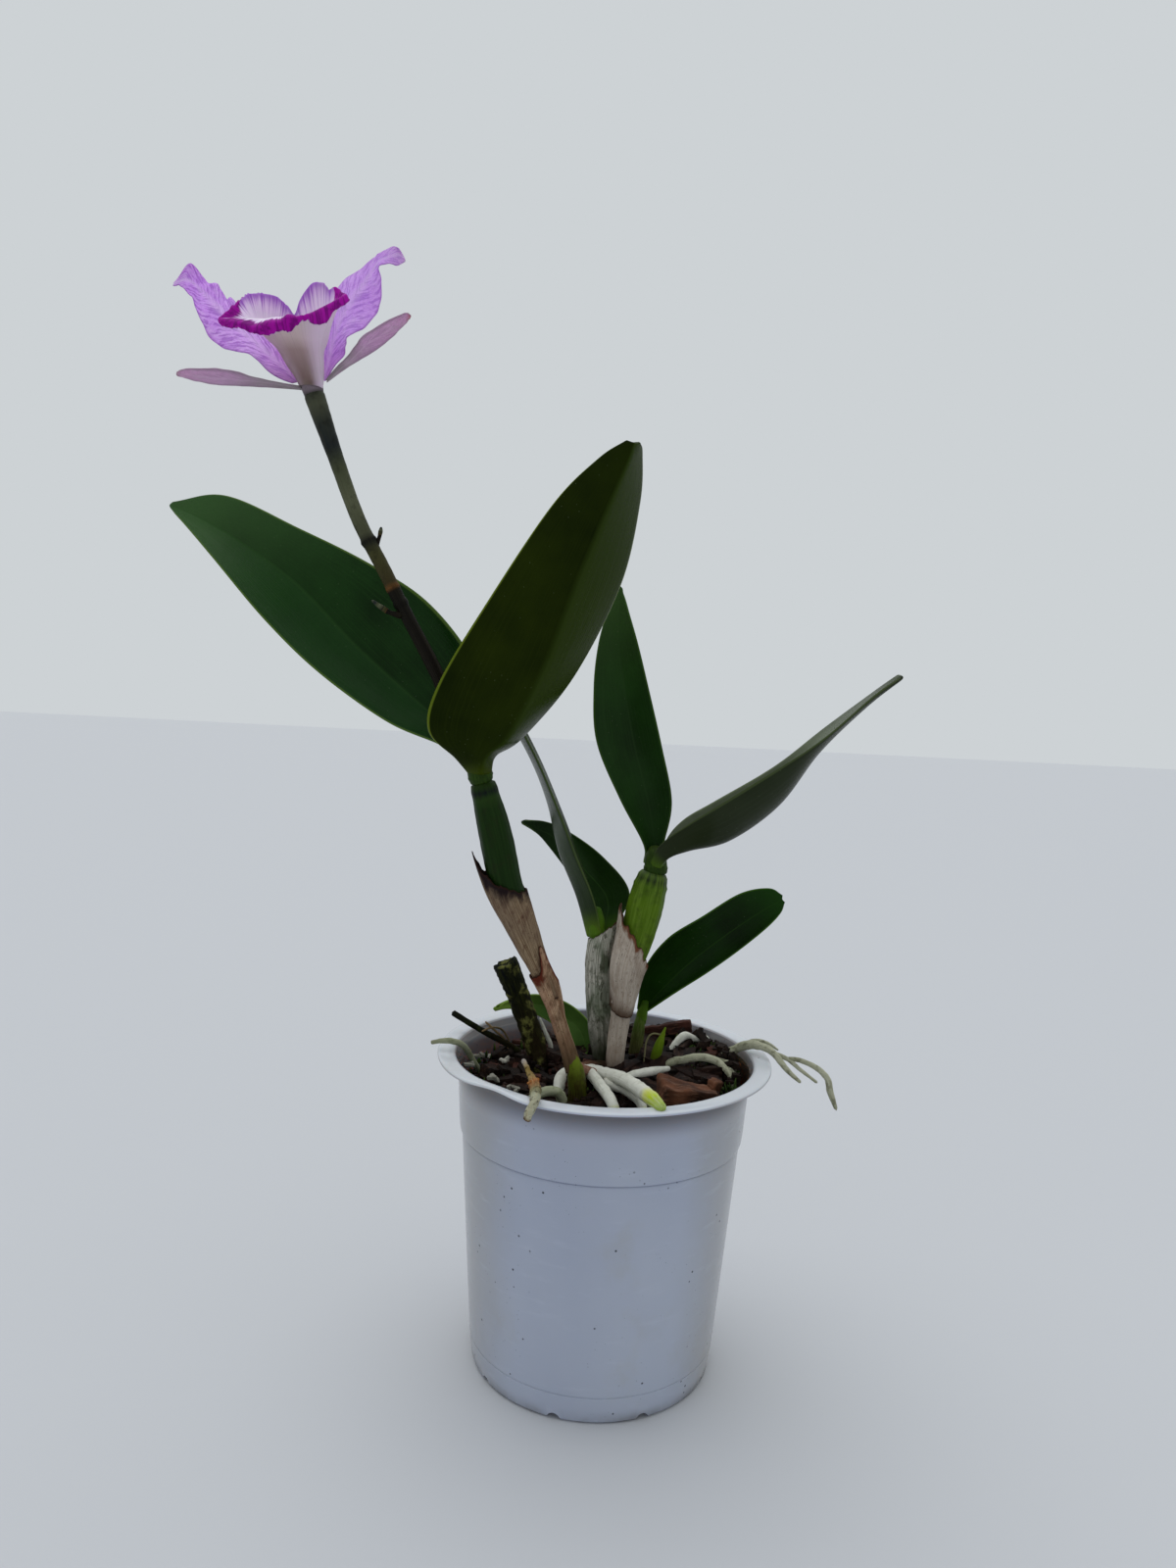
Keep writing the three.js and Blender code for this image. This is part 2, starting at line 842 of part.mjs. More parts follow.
const LEAVES = {
  leaf_front: {
    left: [
      [-50.2, -28, 212.2],
      [-54.7, -30.5, 217.3],
      [-63.5, -33, 226],
      [-60, -38, 241],
      [-44, -46, 268],
      [-25.5, -54, 296],
      [-12.5, -59, 309],
      [-5, -62, 313.5],
    ],
    rib: [
      [-46, -31, 212.2],
      [-44, -35, 219],
      [-36.5, -38, 226.5],
      [-26, -44, 248.5],
      [-17.5, -52, 273],
      [-9.5, -58, 294.5],
      [-4.5, -61, 307],
      [-2.5, -62.5, 312],
    ],
    right: [
      [-42.8, -28, 212.6],
      [-41.5, -28, 218.6],
      [-33.5, -24, 224.5],
      [-17.5, -26, 245],
      [-3.5, -33, 275],
      [1, -43, 299.5],
      [0.5, -54, 312],
      [-0.5, -60, 314],
    ],
    keel: 0.75,
    across: 6,
    length: 14,
  },
  leaf_back: {
    left: [
      [-43.3, -24, 213],
      [-43.8, -25, 227],
      [-50, -21, 248],
      [-67, -16, 268],
      [-89, -10, 281],
      [-115, -3, 292.5],
      [-143, 4, 303.6],
      [-163.3, 7.8, 301],
    ],
    rib: [
      [-48, -21.3, 212.4],
      [-55, -17, 223.2],
      [-72.5, -12, 236],
      [-94, -6, 253],
      [-115, -2, 272.5],
      [-136.5, 3, 287],
      [-153, 6, 295.5],
      [-164.4, 8, 299.8],
    ],
    right: [
      [-51, -24, 212.6],
      [-59, -24, 220.3],
      [-79, -20, 227.5],
      [-103.5, -17, 243],
      [-123.5, -13, 260],
      [-143.5, -5, 280],
      [-156, 2.5, 291.8],
      [-163.8, 7.6, 298.6],
    ],
    keel: 0.45,
    across: 6,
    length: 14,
  },
  leaf_left_edge_on: {
    left: [
      [-5, 10.2, 153.8],
      [-8, 8, 166.5],
      [-14.5, 7, 180],
      [-21.5, 7, 198],
      [-29.5, 9, 215.5],
      [-39.5, 14, 232],
      [-44.5, 21, 239],
    ],
    rib: [
      [-6.5, 11.6, 152.6],
      [-13, 15, 165.5],
      [-20, 18, 181.5],
      [-25, 20, 199],
      [-31.5, 21, 214],
      [-41, 22, 230],
      [-46, 22, 238],
    ],
    right: [
      [-5.2, 13, 153.8],
      [-8.5, 22, 165],
      [-14, 27, 178.5],
      [-21, 31, 195.5],
      [-29.5, 31, 214.5],
      [-39, 28, 231.5],
      [-44, 23, 239],
    ],
  },
  leaf_left_behind: {
    left: [
      [-0.8, 13, 153.8],
      [6.5, 20, 166.5],
      [-4, 25.5, 179],
      [-17.5, 31, 187.5],
      [-26.5, 33.5, 190.5],
      [-34.5, 34.5, 190.5],
    ],
    rib: [
      [-2, 14.6, 152.8],
      [0, 23, 163],
      [-10, 29.5, 173.5],
      [-21, 33, 183.5],
      [-29.5, 34.5, 187.5],
      [-36, 35, 190],
    ],
    right: [
      [-3.2, 15.2, 153.8],
      [-5, 23.5, 161],
      [-14, 30, 170.5],
      [-24, 33, 180.5],
      [-30, 34, 186],
      [-35.5, 34.5, 189.3],
    ],
  },
  leaf_right_upright: {
    left: [
      [11, 7.5, 180],
      [10.5, 8, 187],
      [1, 9, 203],
      [-8.5, 12, 223],
      [-10.5, 17, 242.5],
      [-9.5, 22, 259],
      [-6.5, 26, 272],
      [-3.5, 29, 280.5],
    ],
    rib: [
      [13.5, 10, 179.5],
      [14.5, 11, 186.5],
      [12, 15, 201],
      [6, 19, 221.5],
      [1.5, 23, 242],
      [-1.5, 26, 260.5],
      [-2, 28, 273.5],
      [-2.5, 29, 281.5],
    ],
    right: [
      [16.5, 8, 180],
      [18, 8, 188.5],
      [20, 9, 203],
      [15.5, 12, 222.5],
      [9.5, 17, 244.5],
      [5, 22, 260.5],
      [1, 26, 272.5],
      [-1.5, 29, 280.5],
    ],
    keel: 0.3,
  },
  leaf_right_arching: {
    left: [
      [18, 5, 180],
      [18.5, 4, 189.5],
      [24.5, 6, 197],
      [35.5, 8, 204],
      [56, 8, 217.5],
      [72.5, 3, 232.5],
      [87, -6, 246],
      [93.5, -11, 252],
    ],
    rib: [
      [15.8, 2.4, 179.4],
      [19.5, 0, 184],
      [26.5, -1, 187],
      [40.5, -2, 191.5],
      [56.5, -4, 205],
      [68.5, -8, 224.5],
      [83, -11, 241],
      [94.5, -13, 251.5],
    ],
    right: [
      [13, 4.2, 180],
      [16, 0, 188],
      [24.5, -8, 196.5],
      [36, -16, 206],
      [53.5, -18, 218.5],
      [68.5, -18, 229.5],
      [84.5, -15, 244],
      [93.5, -13.8, 251],
    ],
    keel: 0.3,
  },
  leaf_low_right: {
    left: [
      [12.2, 20, 122],
      [13.5, 17, 138],
      [21.5, 15, 151],
      [34, 13, 160.5],
      [47, 11, 170],
      [57.5, 11, 172.5],
      [63, 12, 170],
    ],
    rib: [
      [13.8, 22, 121],
      [21.5, 20, 131],
      [31.5, 19, 142],
      [43.5, 17, 153],
      [53.5, 14.5, 161.5],
      [60, 12.5, 166.5],
      [63, 12, 168.5],
    ],
    right: [
      [15.6, 20, 121.4],
      [25, 17, 129.5],
      [37.5, 15, 139],
      [48.5, 13, 148.5],
      [57.5, 11, 157.5],
      [62.5, 11, 163.5],
      [64, 12, 167.5],
    ],
    keel: 0.3,
  },
  leaf_low_left: {
    left: [
      [-3, 25, 100.5],
      [-4.5, 26, 112],
      [-9.5, 27, 118],
      [-17, 28, 122],
      [-27.5, 29, 123.5],
      [-37, 30, 120.5],
      [-42.5, 31, 117],
    ],
    rib: [
      [-5.5, 26, 100],
      [-8.5, 28, 109.5],
      [-14, 30, 114],
      [-21.5, 31, 118],
      [-29.5, 31, 119.5],
      [-38, 31, 118.5],
      [-43.5, 31, 116.5],
    ],
    right: [
      [-9, 25, 100.5],
      [-12.5, 26, 107],
      [-18, 27, 111.5],
      [-24.5, 28, 115],
      [-30, 29, 116.5],
      [-37, 30, 117],
      [-42.5, 31, 115.5],
    ],
    across: 4,
    length: 10,
  },
};

/** The low leaf rises out of the mix through a hole of its own. */
const LOW_LEAF_ROOM = {
  spine: [[-6, 26, 96], [-7, 26.5, 106], [-12, 27.5, 112]],
  hole: 5.8,
};

// ---------------------------------------------------------------- flower

const TEPALS = {
  sepal_left: {
    left: [
      [-107.5, -35, 332],
      [-112.5, -39, 332.5],
      [-118.5, -43.5, 332],
      [-126, -47, 332.5],
      [-134, -47, 332.5],
      [-140, -45.5, 332.5],
      [-142.5, -44, 332],
    ],
    rib: [
      [-107, -33.5, 331.6],
      [-113.5, -36, 332],
      [-120.5, -38.5, 332],
      [-128.5, -41, 331.5],
      [-136, -42.5, 331.5],
      [-141, -43.5, 331.5],
      [-143, -43.5, 331.5],
    ],
    right: [
      [-107, -32, 331.6],
      [-114.5, -33, 331.5],
      [-123.5, -33.5, 331.5],
      [-132, -35, 331],
      [-138, -38, 331],
      [-141.5, -41.5, 331],
      [-143, -43, 331],
    ],
  },
  sepal_right: {
    left: [
      [-101.3, -34, 333],
      [-94.5, -37, 338.5],
      [-89, -40, 344],
      [-82.5, -42, 348.5],
      [-77.5, -41, 351],
      [-74, -39.5, 354],
    ],
    rib: [
      [-101.3, -32.5, 333],
      [-94.5, -34.5, 338],
      [-88, -36, 342.5],
      [-82, -37.5, 347.5],
      [-76.5, -38, 350.5],
      [-73, -39, 353.5],
    ],
    right: [
      [-101.3, -31, 332.5],
      [-94.5, -32, 338],
      [-87.5, -32, 342.5],
      [-81, -33, 346.5],
      [-76, -35, 350],
      [-73, -38.5, 352.5],
    ],
  },
  sepal_dorsal: {
    left: [
      [-107.5, -28, 334],
      [-114.5, -18, 342],
      [-121, -6, 351],
      [-124.5, 5, 358],
      [-123, 13, 363],
    ],
    rib: [
      [-106.3, -27.3, 334],
      [-110.5, -17, 342],
      [-115.5, -5, 350.5],
      [-119.5, 6, 358],
      [-122.5, 14, 363.5],
    ],
    right: [
      [-105, -27.5, 334.3],
      [-106, -18, 342.5],
      [-109, -6, 351.5],
      [-114, 5, 358.5],
      [-121, 13, 363],
    ],
    length: 9,
  },
  petal_left: {
    left: [
      [-110, -33, 333.4],
      [-119, -36, 337.5],
      [-128, -37, 342],
      [-136.5, -36, 346],
      [-141, -33, 354.5],
      [-144, -30, 360.5],
      [-147, -28, 363.5],
      [-150.5, -28, 363],
    ],
    rib: [
      [-109.5, -31, 334],
      [-117.5, -28, 343],
      [-126.5, -27, 349.5],
      [-133.5, -26, 354.5],
      [-139, -25, 360],
      [-143.5, -25, 364.5],
      [-147, -25, 367],
      [-151, -26, 364.5],
    ],
    right: [
      [-109.3, -29.5, 335],
      [-116.5, -21, 349],
      [-126, -17, 358],
      [-133, -15, 363.5],
      [-138.5, -16, 367],
      [-142.5, -19, 368],
      [-147.5, -22, 372.5],
      [-150.5, -25, 366],
    ],
    wave: 1.2,
    waves: 2.5,
    across: 8,
    length: 14,
  },
  petal_right: {
    left: [
      [-99.8, -31.2, 335],
      [-95.5, -31.5, 340],
      [-91.5, -31, 348],
      [-86.5, -29, 353.5],
      [-84.5, -27, 363],
      [-86, -23, 371],
      [-85.5, -20, 375.5],
      [-79.5, -18, 377.5],
    ],
    rib: [
      [-101, -29, 335.3],
      [-100.5, -26, 344.5],
      [-98.5, -24, 354.5],
      [-94.5, -22, 361.5],
      [-91.5, -20, 368.5],
      [-89.5, -18.5, 374.5],
      [-87, -17.5, 378.5],
      [-79.5, -17, 380],
    ],
    right: [
      [-102.8, -27.3, 335.8],
      [-105.5, -19, 349.5],
      [-105, -15, 361.5],
      [-102.5, -12, 370.5],
      [-98, -12, 374.5],
      [-92.5, -14, 377.5],
      [-88.5, -15, 381.5],
      [-82, -16, 383.5],
    ],
    wave: 1.2,
    waves: 2.5,
    across: 8,
    length: 14,
  },
};

const LIP = {
  // Tube: centres and radii from the base up. Angles run from the front to the right.
  rings: [
    { centre: [-104.8, -33.4, 334], radius: 3.5 },
    { centre: [-105.8, -35, 337.5], radius: 5.2 },
    { centre: [-107, -37.5, 342.5], radius: 7.2 },
    { centre: [-108, -41.5, 346.5], radius: 10.5 },
  ],
  // The frilled margin, from the front middle to the right, over the back and down the left.
  margin: [
    [-106, -58, 341],
    [-97.5, -56, 344.5],
    [-93, -52, 349.5],
    [-90, -46, 355],
    [-93.5, -41, 359],
    [-98, -37, 362],
    [-102, -35, 363],
    [-105.5, -34, 362],
    [-108, -33, 358.5],
    [-110.5, -32, 355],
    [-112.5, -33, 356],
    [-114.5, -35, 357.5],
    [-117.5, -37, 358.5],
    [-120.5, -40, 358],
    [-123.5, -43, 355.5],
    [-125.5, -47, 352],
    [-127, -51, 347],
    [-121.5, -55, 343],
    [-115, -58, 340],
    [-110.5, -59, 339.5],
  ],
  frills: 8,
  frillHeight: 0.8,
  sides: 30,
  steps: 6,
};

/** The trumpet-shaped lip: a tube that opens into a wide frilled margin. */
function makeLip() {
  const margin = smoothCurve(LIP.margin, true);
  const sheet = new THREE.CylinderGeometry(1, 1, 1, LIP.sides, LIP.steps, true);
  const { position } = sheet.attributes;
  const half = new Float32Array(position.count).fill(PETAL_THICKNESS / 2);
  for (let i = 0; i < position.count; i += 1) {
    const angle = Math.atan2(position.getZ(i), position.getX(i));
    const turn = THREE.MathUtils.euclideanModulo(angle / (Math.PI * 2), 1);
    const tube = LIP.rings.map(({ centre, radius }) =>
      vector(centre).add(vector([Math.sin(angle) * radius, -Math.cos(angle) * radius, 0])),
    );
    const edge = margin.getPoint(turn);
    const rail = new THREE.CatmullRomCurve3([...tube, edge], false, 'catmullrom', 0.5);
    const v = position.getY(i) + 0.5;
    const point = rail.getPoint(v);
    point.z += LIP.frillHeight * v ** 4 * Math.cos(turn * Math.PI * 2 * LIP.frills);
    position.setXYZ(i, ...point);
  }
  sheet.setAttribute('half', new THREE.BufferAttribute(half, 1));
  return shellOf(sheet);
}

/** The column: the fused stamens and pistil that the lip is rolled round. */
const COLUMN = {
  spine: [[-104.2, -32.2, 331.2], [-104.8, -33.4, 335], [-106, -35.6, 340], [-107.2, -38.5, 345]],
  radii: [1.7, 1.6, 2, 2.2],
  steps: 5,
};

// ---------------------------------------------------------------- assembly

const orchid = new THREE.Group();

function place(name, solid, material) {
  const mesh = solid.getMesh();
  const geometry = new THREE.BufferGeometry();
  geometry.setAttribute('position', new THREE.BufferAttribute(mesh.vertProperties, 3));
  geometry.setIndex(new THREE.BufferAttribute(mesh.triVerts, 1));
  geometry.computeVertexNormals();
  const node = new THREE.Mesh(geometry, material);
  node.name = name;
  orchid.add(node);
}

const rootOf = (runs) => join(runs.map((run) => limb(run)));
// Six flat sides round a root need twice the clearance at their corners.
const roomFor = (runs) => join(runs.map((run) => limb({ ...run, sides: 6 }, 2 * CLEARANCE)));

/** A plain hole round the foot of a stem, which leaves its sheath clear too. */
function holeFor({ spine, hole }) {
  return limb({ spine: spine.slice(0, 3), radii: [hole, hole], steps: 3 });
}

const STANDING = [
  BULB_FRONT,
  FRONT_FOOT,
  BULB_RIGHT,
  BULB_LEFT,
  BULB_SMALL,
  YOUNG_SHOOT,
  OLD_STUB,
  OLD_STALK,
  LOW_LEAF_ROOM,
];
const holes = STANDING.map(holeFor);

place('pot', makePot(), MATERIALS.pot);

place('pseudobulb_front', join([limb(BULB_FRONT), limb(FRONT_FOOT)]), MATERIALS.bulb);
place('pseudobulb_right', limb(BULB_RIGHT), MATERIALS.bulb);
place('pseudobulb_left', limb(BULB_LEFT), MATERIALS.bulb);
place('pseudobulb_small', limb(BULB_SMALL), MATERIALS.bulb);
place('young_shoot', limb(YOUNG_SHOOT), MATERIALS.bulb);
place('old_cut_stem', limb(OLD_STUB), MATERIALS.stub);
place('old_flower_stalk', limb(OLD_STALK), MATERIALS.stub);
for (const [name, sheath] of Object.entries(SHEATHS)) {
  place(name, sleeve(sheath), MATERIALS.sheath);
}

place('rhizome', carve(limb(RHIZOME), holes), MATERIALS.rhizome);
const rootRoom = [];
const rhizomeRoom = roomFor([RHIZOME]);
for (const [name, runs] of Object.entries(ROOTS)) {
  const material = name === 'root_dead' ? MATERIALS.deadRoot : MATERIALS.root;
  place(name, carve(rootOf(runs), [...holes, rhizomeRoom]), material);
  rootRoom.push(roomFor(runs));
}
place('bark_mix', makeBarkMix([...holes, rhizomeRoom, ...rootRoom]), MATERIALS.bark);

for (const [name, leaf] of Object.entries(LEAVES)) {
  place(name, blade({ thickness: LEAF_THICKNESS, ...leaf }), MATERIALS.leaf);
}

place('flower_stem', makeFlowerStem(), MATERIALS.stem);
for (const [name, tepal] of Object.entries(TEPALS)) {
  const material = name.startsWith('petal') ? MATERIALS.petal : MATERIALS.sepal;
  const shape = { thickness: PETAL_THICKNESS, keel: 0.2, length: 11, ...tepal };
  place(name, blade(shape), material);
}
place('lip', makeLip(), MATERIALS.lip);
place('column', limb(COLUMN), MATERIALS.column);

export default orchid;
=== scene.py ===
"""The looks of a potted cattleya orchid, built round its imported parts.

Shapes are written in millimetres and become metres as they are made. Every piece carries a
"grain" attribute that its finish reads: across and along a blade, or round and along a limb.
"""

from __future__ import annotations

import logging
import math
import random
from dataclasses import dataclass
from enum import Enum
from functools import reduce
from typing import Callable, Iterable, Sequence, TypeVar

import bmesh
import bpy
from mathutils import Matrix, Vector, noise

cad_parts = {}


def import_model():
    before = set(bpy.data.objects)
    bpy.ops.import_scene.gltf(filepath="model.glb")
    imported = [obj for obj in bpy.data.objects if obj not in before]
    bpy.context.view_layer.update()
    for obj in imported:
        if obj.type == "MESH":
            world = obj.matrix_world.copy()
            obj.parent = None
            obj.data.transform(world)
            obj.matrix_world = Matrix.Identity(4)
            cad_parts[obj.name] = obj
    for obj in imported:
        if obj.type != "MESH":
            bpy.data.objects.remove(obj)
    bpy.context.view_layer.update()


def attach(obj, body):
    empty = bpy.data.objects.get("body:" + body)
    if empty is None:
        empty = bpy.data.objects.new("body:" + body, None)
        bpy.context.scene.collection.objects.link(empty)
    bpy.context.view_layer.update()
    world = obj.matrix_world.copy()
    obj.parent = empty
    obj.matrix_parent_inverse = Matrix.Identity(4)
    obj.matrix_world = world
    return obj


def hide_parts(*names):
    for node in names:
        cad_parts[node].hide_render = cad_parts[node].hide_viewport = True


LOG = logging.getLogger("orchid")
MM = 0.001

Socket = bpy.types.NodeSocket
Material = bpy.types.Material
Solid = bpy.types.Object
Mesh = bmesh.types.BMesh
Point = tuple[float, float, float]
Colour = str
Stops = tuple[tuple[float, Colour], ...]
Curved = TypeVar("Curved", float, Vector)
Spot = tuple[Vector, Point, float]
Axes = tuple[Vector, Vector, Vector]
Span = tuple[float, float]
Ranges = tuple[Span, Span, Span]
Scatter = tuple[int, Ranges, float, int]


# Small helpers.


def smooth_step(value: float, low: float, high: float) -> float:
    """How far value is from low to high, from 0 to 1, eased at both ends."""
    t = min(1.0, max(0.0, (value - low) / (high - low)))
    return t * t * (3 - 2 * t)


def bump_at(angle: float, centre: float, width: float) -> float:
    """A smooth bump of height 1 round an angle, in radians."""
    away = math.atan2(math.sin(angle - centre), math.cos(angle - centre))
    return math.exp(-((away / width) ** 2))


def between(four: Iterable[Curved], share: float) -> Curved:
    """The value between the second and third of four, on a smooth curve through them all.

    Args:
        four: Four numbers or vectors.
        share: How far it is from the second to the third, from 0 to 1.

    Returns:
        The value, of their kind.
    """
    before, start, end, after = four
    rise, fall = (end - before) / 2, (after - start) / 2
    h = share * share * (3 - 2 * share)
    eased = (rise * (1 - share) - fall * share) * (share * (1 - share))
    return start + (end - start) * h + eased


def along(values: Sequence[float], t: float) -> float:
    """The value at t, from 0 to 1, on a smooth curve through evenly spaced values.

    Args:
        values: Values at even steps.
        t: The place among them.

    Returns:
        The value there.
    """
    last = len(values) - 1
    place = min(max(t, 0.0), 1.0) * last
    i = min(int(place), last - 1)
    return between((values[min(max(i + k, 0), last)] for k in (-1, 0, 1, 2)), place - i)


def linear(colour: Colour) -> tuple[float, float, float, float]:
    """A '#rrggbb' screen colour as the linear colour that a shader takes.

    Args:
        colour: The screen colour.

    Returns:
        Red, green, blue and full opacity.
    """
    parts = [int(colour[i : i + 2], 16) / 255 for i in (1, 3, 5)]
    red, green, blue = (c / 12.92 if c <= 0.04045 else ((c + 0.055) / 1.055) ** 2.4 for c in parts)
    return red, green, blue, 1.0


# Shader building.


class Coordinates(Enum):
    """Where a pattern takes its place from."""

    OBJECT = "object"
    GRAIN = "grain"


class Shader:
    """One procedural material under construction: its nodes, and its colour so far."""

    def __init__(self, name: str, **sockets: float | tuple) -> None:
        """Starts a material.

        Args:
            name: The material's name.
            sockets: Constants for the surface shader, with underscores for spaces.
        """
        self.material = bpy.data.materials.new(name)
        self.material.use_nodes = True
        self.tree = self.material.node_tree
        self.surface = self.tree.nodes["Principled BSDF"]
        self.colour: object = linear("#ffffff")
        for key, value in sockets.items():
            self.surface.inputs[key.replace("_", " ")].default_value = value

    def node(self, kind: str, **inputs: object) -> bpy.types.Node:
        """A node of a kind, with constants set or sockets linked by input name.

        Args:
            kind: The node's type.
            inputs: Its inputs, with underscores for spaces.

        Returns:
            The new node.
        """
        made = self.tree.nodes.new(kind)
        for key, value in inputs.items():
            self.feed(made.inputs[key.replace("_", " ")], value)
        return made

    def feed(self, socket: Socket, value: object) -> None:
        """Links a socket's source, or sets its constant.

        Args:
            socket: What is fed.
            value: A socket or a constant.
        """
        if isinstance(value, Socket):
            self.tree.links.new(value, socket)
        else:
            socket.default_value = value

    def place(self, where: Coordinates, scale: Point = (1, 1, 1)) -> Socket:
        """The place that a pattern reads, stretched by scale.

        Args:
            where: What the place is measured in.
            scale: Repeats in each direction.

        Returns:
            The place.
        """
        if where is Coordinates.OBJECT:
            source = self.node("ShaderNodeTexCoord").outputs["Object"]
        else:
            reader = self.node("ShaderNodeAttribute")
            reader.attribute_name = "grain"
            source = reader.outputs["Vector"]
        return self.node("ShaderNodeMapping", Vector=source, Scale=scale).outputs[0]

    def parts(self, where: Coordinates = Coordinates.GRAIN) -> tuple[Socket, ...]:
        """The three numbers of the place at a point."""
        return tuple(self.node("ShaderNodeSeparateXYZ", Vector=self.place(where)).outputs)

    def noise(
        self,
        where: Coordinates,
        scale: Point,
        detail: float = 3.0,
        roughness: float = 0.55,
        distortion: float = 0.0,
    ) -> Socket:
        """A cloudy value about 0.5, at the given scale along each direction.

        Args:
            where: What its place is measured in.
            scale: Repeats in each direction.
            detail: How many finer layers it has.
            roughness: How strong the finer layers are.
            distortion: How far it is swirled.

        Returns:
            The value.
        """
        made = self.node(
            "ShaderNodeTexNoise", Vector=self.place(where, scale), Scale=1.0, Detail=detail,
            Roughness=roughness, Distortion=distortion,
        )
        return made.outputs["Fac"]

    def cloud(self, scale: float, *rest: float) -> Socket:
        """Cloudy noise of one scale in all directions of the object."""
        return self.noise(Coordinates.OBJECT, (scale, scale, scale), *rest)

    def cells(self, scale: float) -> Socket:
        """Distance to the nearest of many points scattered in the object."""
        place = self.place(Coordinates.OBJECT, (scale, scale, scale))
        return self.node("ShaderNodeTexVoronoi", Vector=place, Scale=1.0).outputs["Distance"]

    def mask(self, value: object, low: float, high: float) -> Socket:
        """0 at low and 1 at high, eased between.

        Args:
            value: What is tested.
            low: Where the mask is 0.
            high: Where it is 1.

        Returns:
            The mask.
        """
        made = self.node("ShaderNodeMapRange", Value=value)
        made.interpolation_type = "SMOOTHSTEP"
        flip = low > high
        made.inputs["From Min"].default_value = high if flip else low
        made.inputs["From Max"].default_value = low if flip else high
        made.inputs["To Min"].default_value = 1.0 if flip else 0.0
        made.inputs["To Max"].default_value = 0.0 if flip else 1.0
        return made.outputs["Result"]

    def maths(self, kind: str, first: object, second: object = 0.0) -> Socket:
        """The result of one kind of sum on two values.

        Args:
            kind: The sum's kind.
            first: A value.
            second: A second one, where it takes one.

        Returns:
            The result.
        """
        made = self.node("ShaderNodeMath")
        made.operation = kind
        self.feed(made.inputs[0], first)
        self.feed(made.inputs[1], second)
        return made.outputs[0]

    def plus(self, first: object, second: object) -> Socket:
        """Two values added."""
        return self.maths("ADD", first, second)

    def minus(self, first: object, second: object) -> Socket:
        """The second value taken from the first."""
        return self.maths("SUBTRACT", first, second)

    def times(self, *values: object) -> object:
        """All the values multiplied, from the first on."""
        return reduce(lambda first, second: self.maths("MULTIPLY", first, second), values)

    def away(self, value: object, middle: float = 0.0) -> Socket:
        """How far a value is from the middle, on either side."""
        return self.maths("ABSOLUTE", self.minus(value, middle) if middle else value)

    def ramp(self, value: object, stops: Stops) -> Socket:
        """A colour that changes with a value.

        Args:
            value: What it changes with, from 0 to 1.
            stops: The colours, each with its place.

        Returns:
            The colour.
        """
        made = self.node("ShaderNodeValToRGB", Fac=value)
        band = made.color_ramp
        while len(band.elements) < len(stops):
            band.elements.new(0.5)
        for element, (position, colour) in zip(band.elements, stops):
            element.position = position
            element.color = linear(colour)
        return made.outputs["Color"]

    def tint(self, over: Colour, *shares: object) -> None:
        """Lays a colour over the one so far, by the product of the shares.

        Args:
            over: The colour laid over.
            shares: Masks and constants.
        """
        made = self.node("ShaderNodeMix")
        made.data_type = "RGBA"
        self.feed(made.inputs["Factor"], self.times(*shares))
        for key, value in (("A", self.colour), ("B", linear(over))):
            socket = next(s for s in made.inputs if s.name == key and s.type == "RGBA")
            self.feed(socket, value)
        self.colour = next(s for s in made.outputs if s.type == "RGBA")

    def relief(self, height: object, depth: float) -> None:
        """Gives the surface fine relief, on top of what it has.

        Args:
            height: The pattern.
            depth: Its depth in millimetres.
        """
        bump = self.node("ShaderNodeBump", Height=height, Strength=1.0, Distance=depth * MM)
        if self.surface.inputs["Normal"].is_linked:
            earlier = self.surface.inputs["Normal"].links[0].from_socket
            self.feed(bump.inputs["Normal"], earlier)
        self.feed(self.surface.inputs["Normal"], bump.outputs["Normal"])

    def finish(self, roughness: object | None = None) -> Material:
        """Gives the surface its colour, and its roughness where that changes.

        Args:
            roughness: The pattern of roughness, where it has one.

        Returns:
            The material.
        """
        self.feed(self.surface.inputs["Base Color"], self.colour)
        if roughness is not None:
            self.feed(self.surface.inputs["Roughness"], roughness)
        return self.material


# Finishes.


@dataclass(frozen=True)
class LeafFinish:
    """A waxy leaf: mottled green, a channel at the midrib, fine veins and a pale margin, and where asked a
    right half painted lighter or darker for the light on it.
    """

    name: str
    dark: Colour = "#10200a"
    light: Colour = "#213c14"
    vein: Colour = "#2a451b"
    rib: Colour = "#31501f"
    margin: Colour = "#6f8438"
    base: Colour = "#4a6318"
    # Painted light and shade: a colour over the right half, for the sheen it catches on some leaves and the
    # shade it lies in on others.
    right: Colour = "#10200a"
    right_lighting_share: float = 0.0
    tip: Colour = "#213c14"
    tip_share: float = 0.0
    tip_from: float = 0.5
    margin_share: float = 0.7
    gloss: float = 0.07
    dust: Colour = "#7d8a6c"
    roughness: Stops = ((0.3, "#707070"), (0.75, "#909090"))

    def material(self) -> Material:
        """Builds the material.

        Returns:
            The material.
        """
        s = Shader(self.name, Specular_IOR_Level=self.gloss)
        u, v, _ = s.parts()
        side = s.away(u)
        clouds = s.cloud(38, 4)
        veins = s.noise(Coordinates.GRAIN, (46, 1.3, 1), 3)
        s.colour = s.ramp(clouds, ((0.32, self.dark), (0.7, self.light)))
        s.tint(self.vein, s.mask(veins, 0.48, 0.75), 0.4)
        # Painted light and shade over the right half.
        s.tint(self.right, s.mask(u, -0.03, 0.05), self.right_lighting_share)
        s.tint(self.tip, s.mask(v, self.tip_from, 0.95), self.tip_share)
        s.tint(self.rib, s.mask(side, 0.05, 0.0), 0.5)
        s.tint(self.base, s.mask(v, 0.13, 0.0))
        s.tint(self.margin, s.mask(side, 0.965, 0.99), self.margin_share)
        s.tint(self.dust, s.mask(s.cells(420), 0.075, 0.04), 0.25)
        s.relief(veins, 0.12)
        s.relief(s.cloud(900, 2), 0.03)
        return s.finish(s.ramp(clouds, self.roughness))


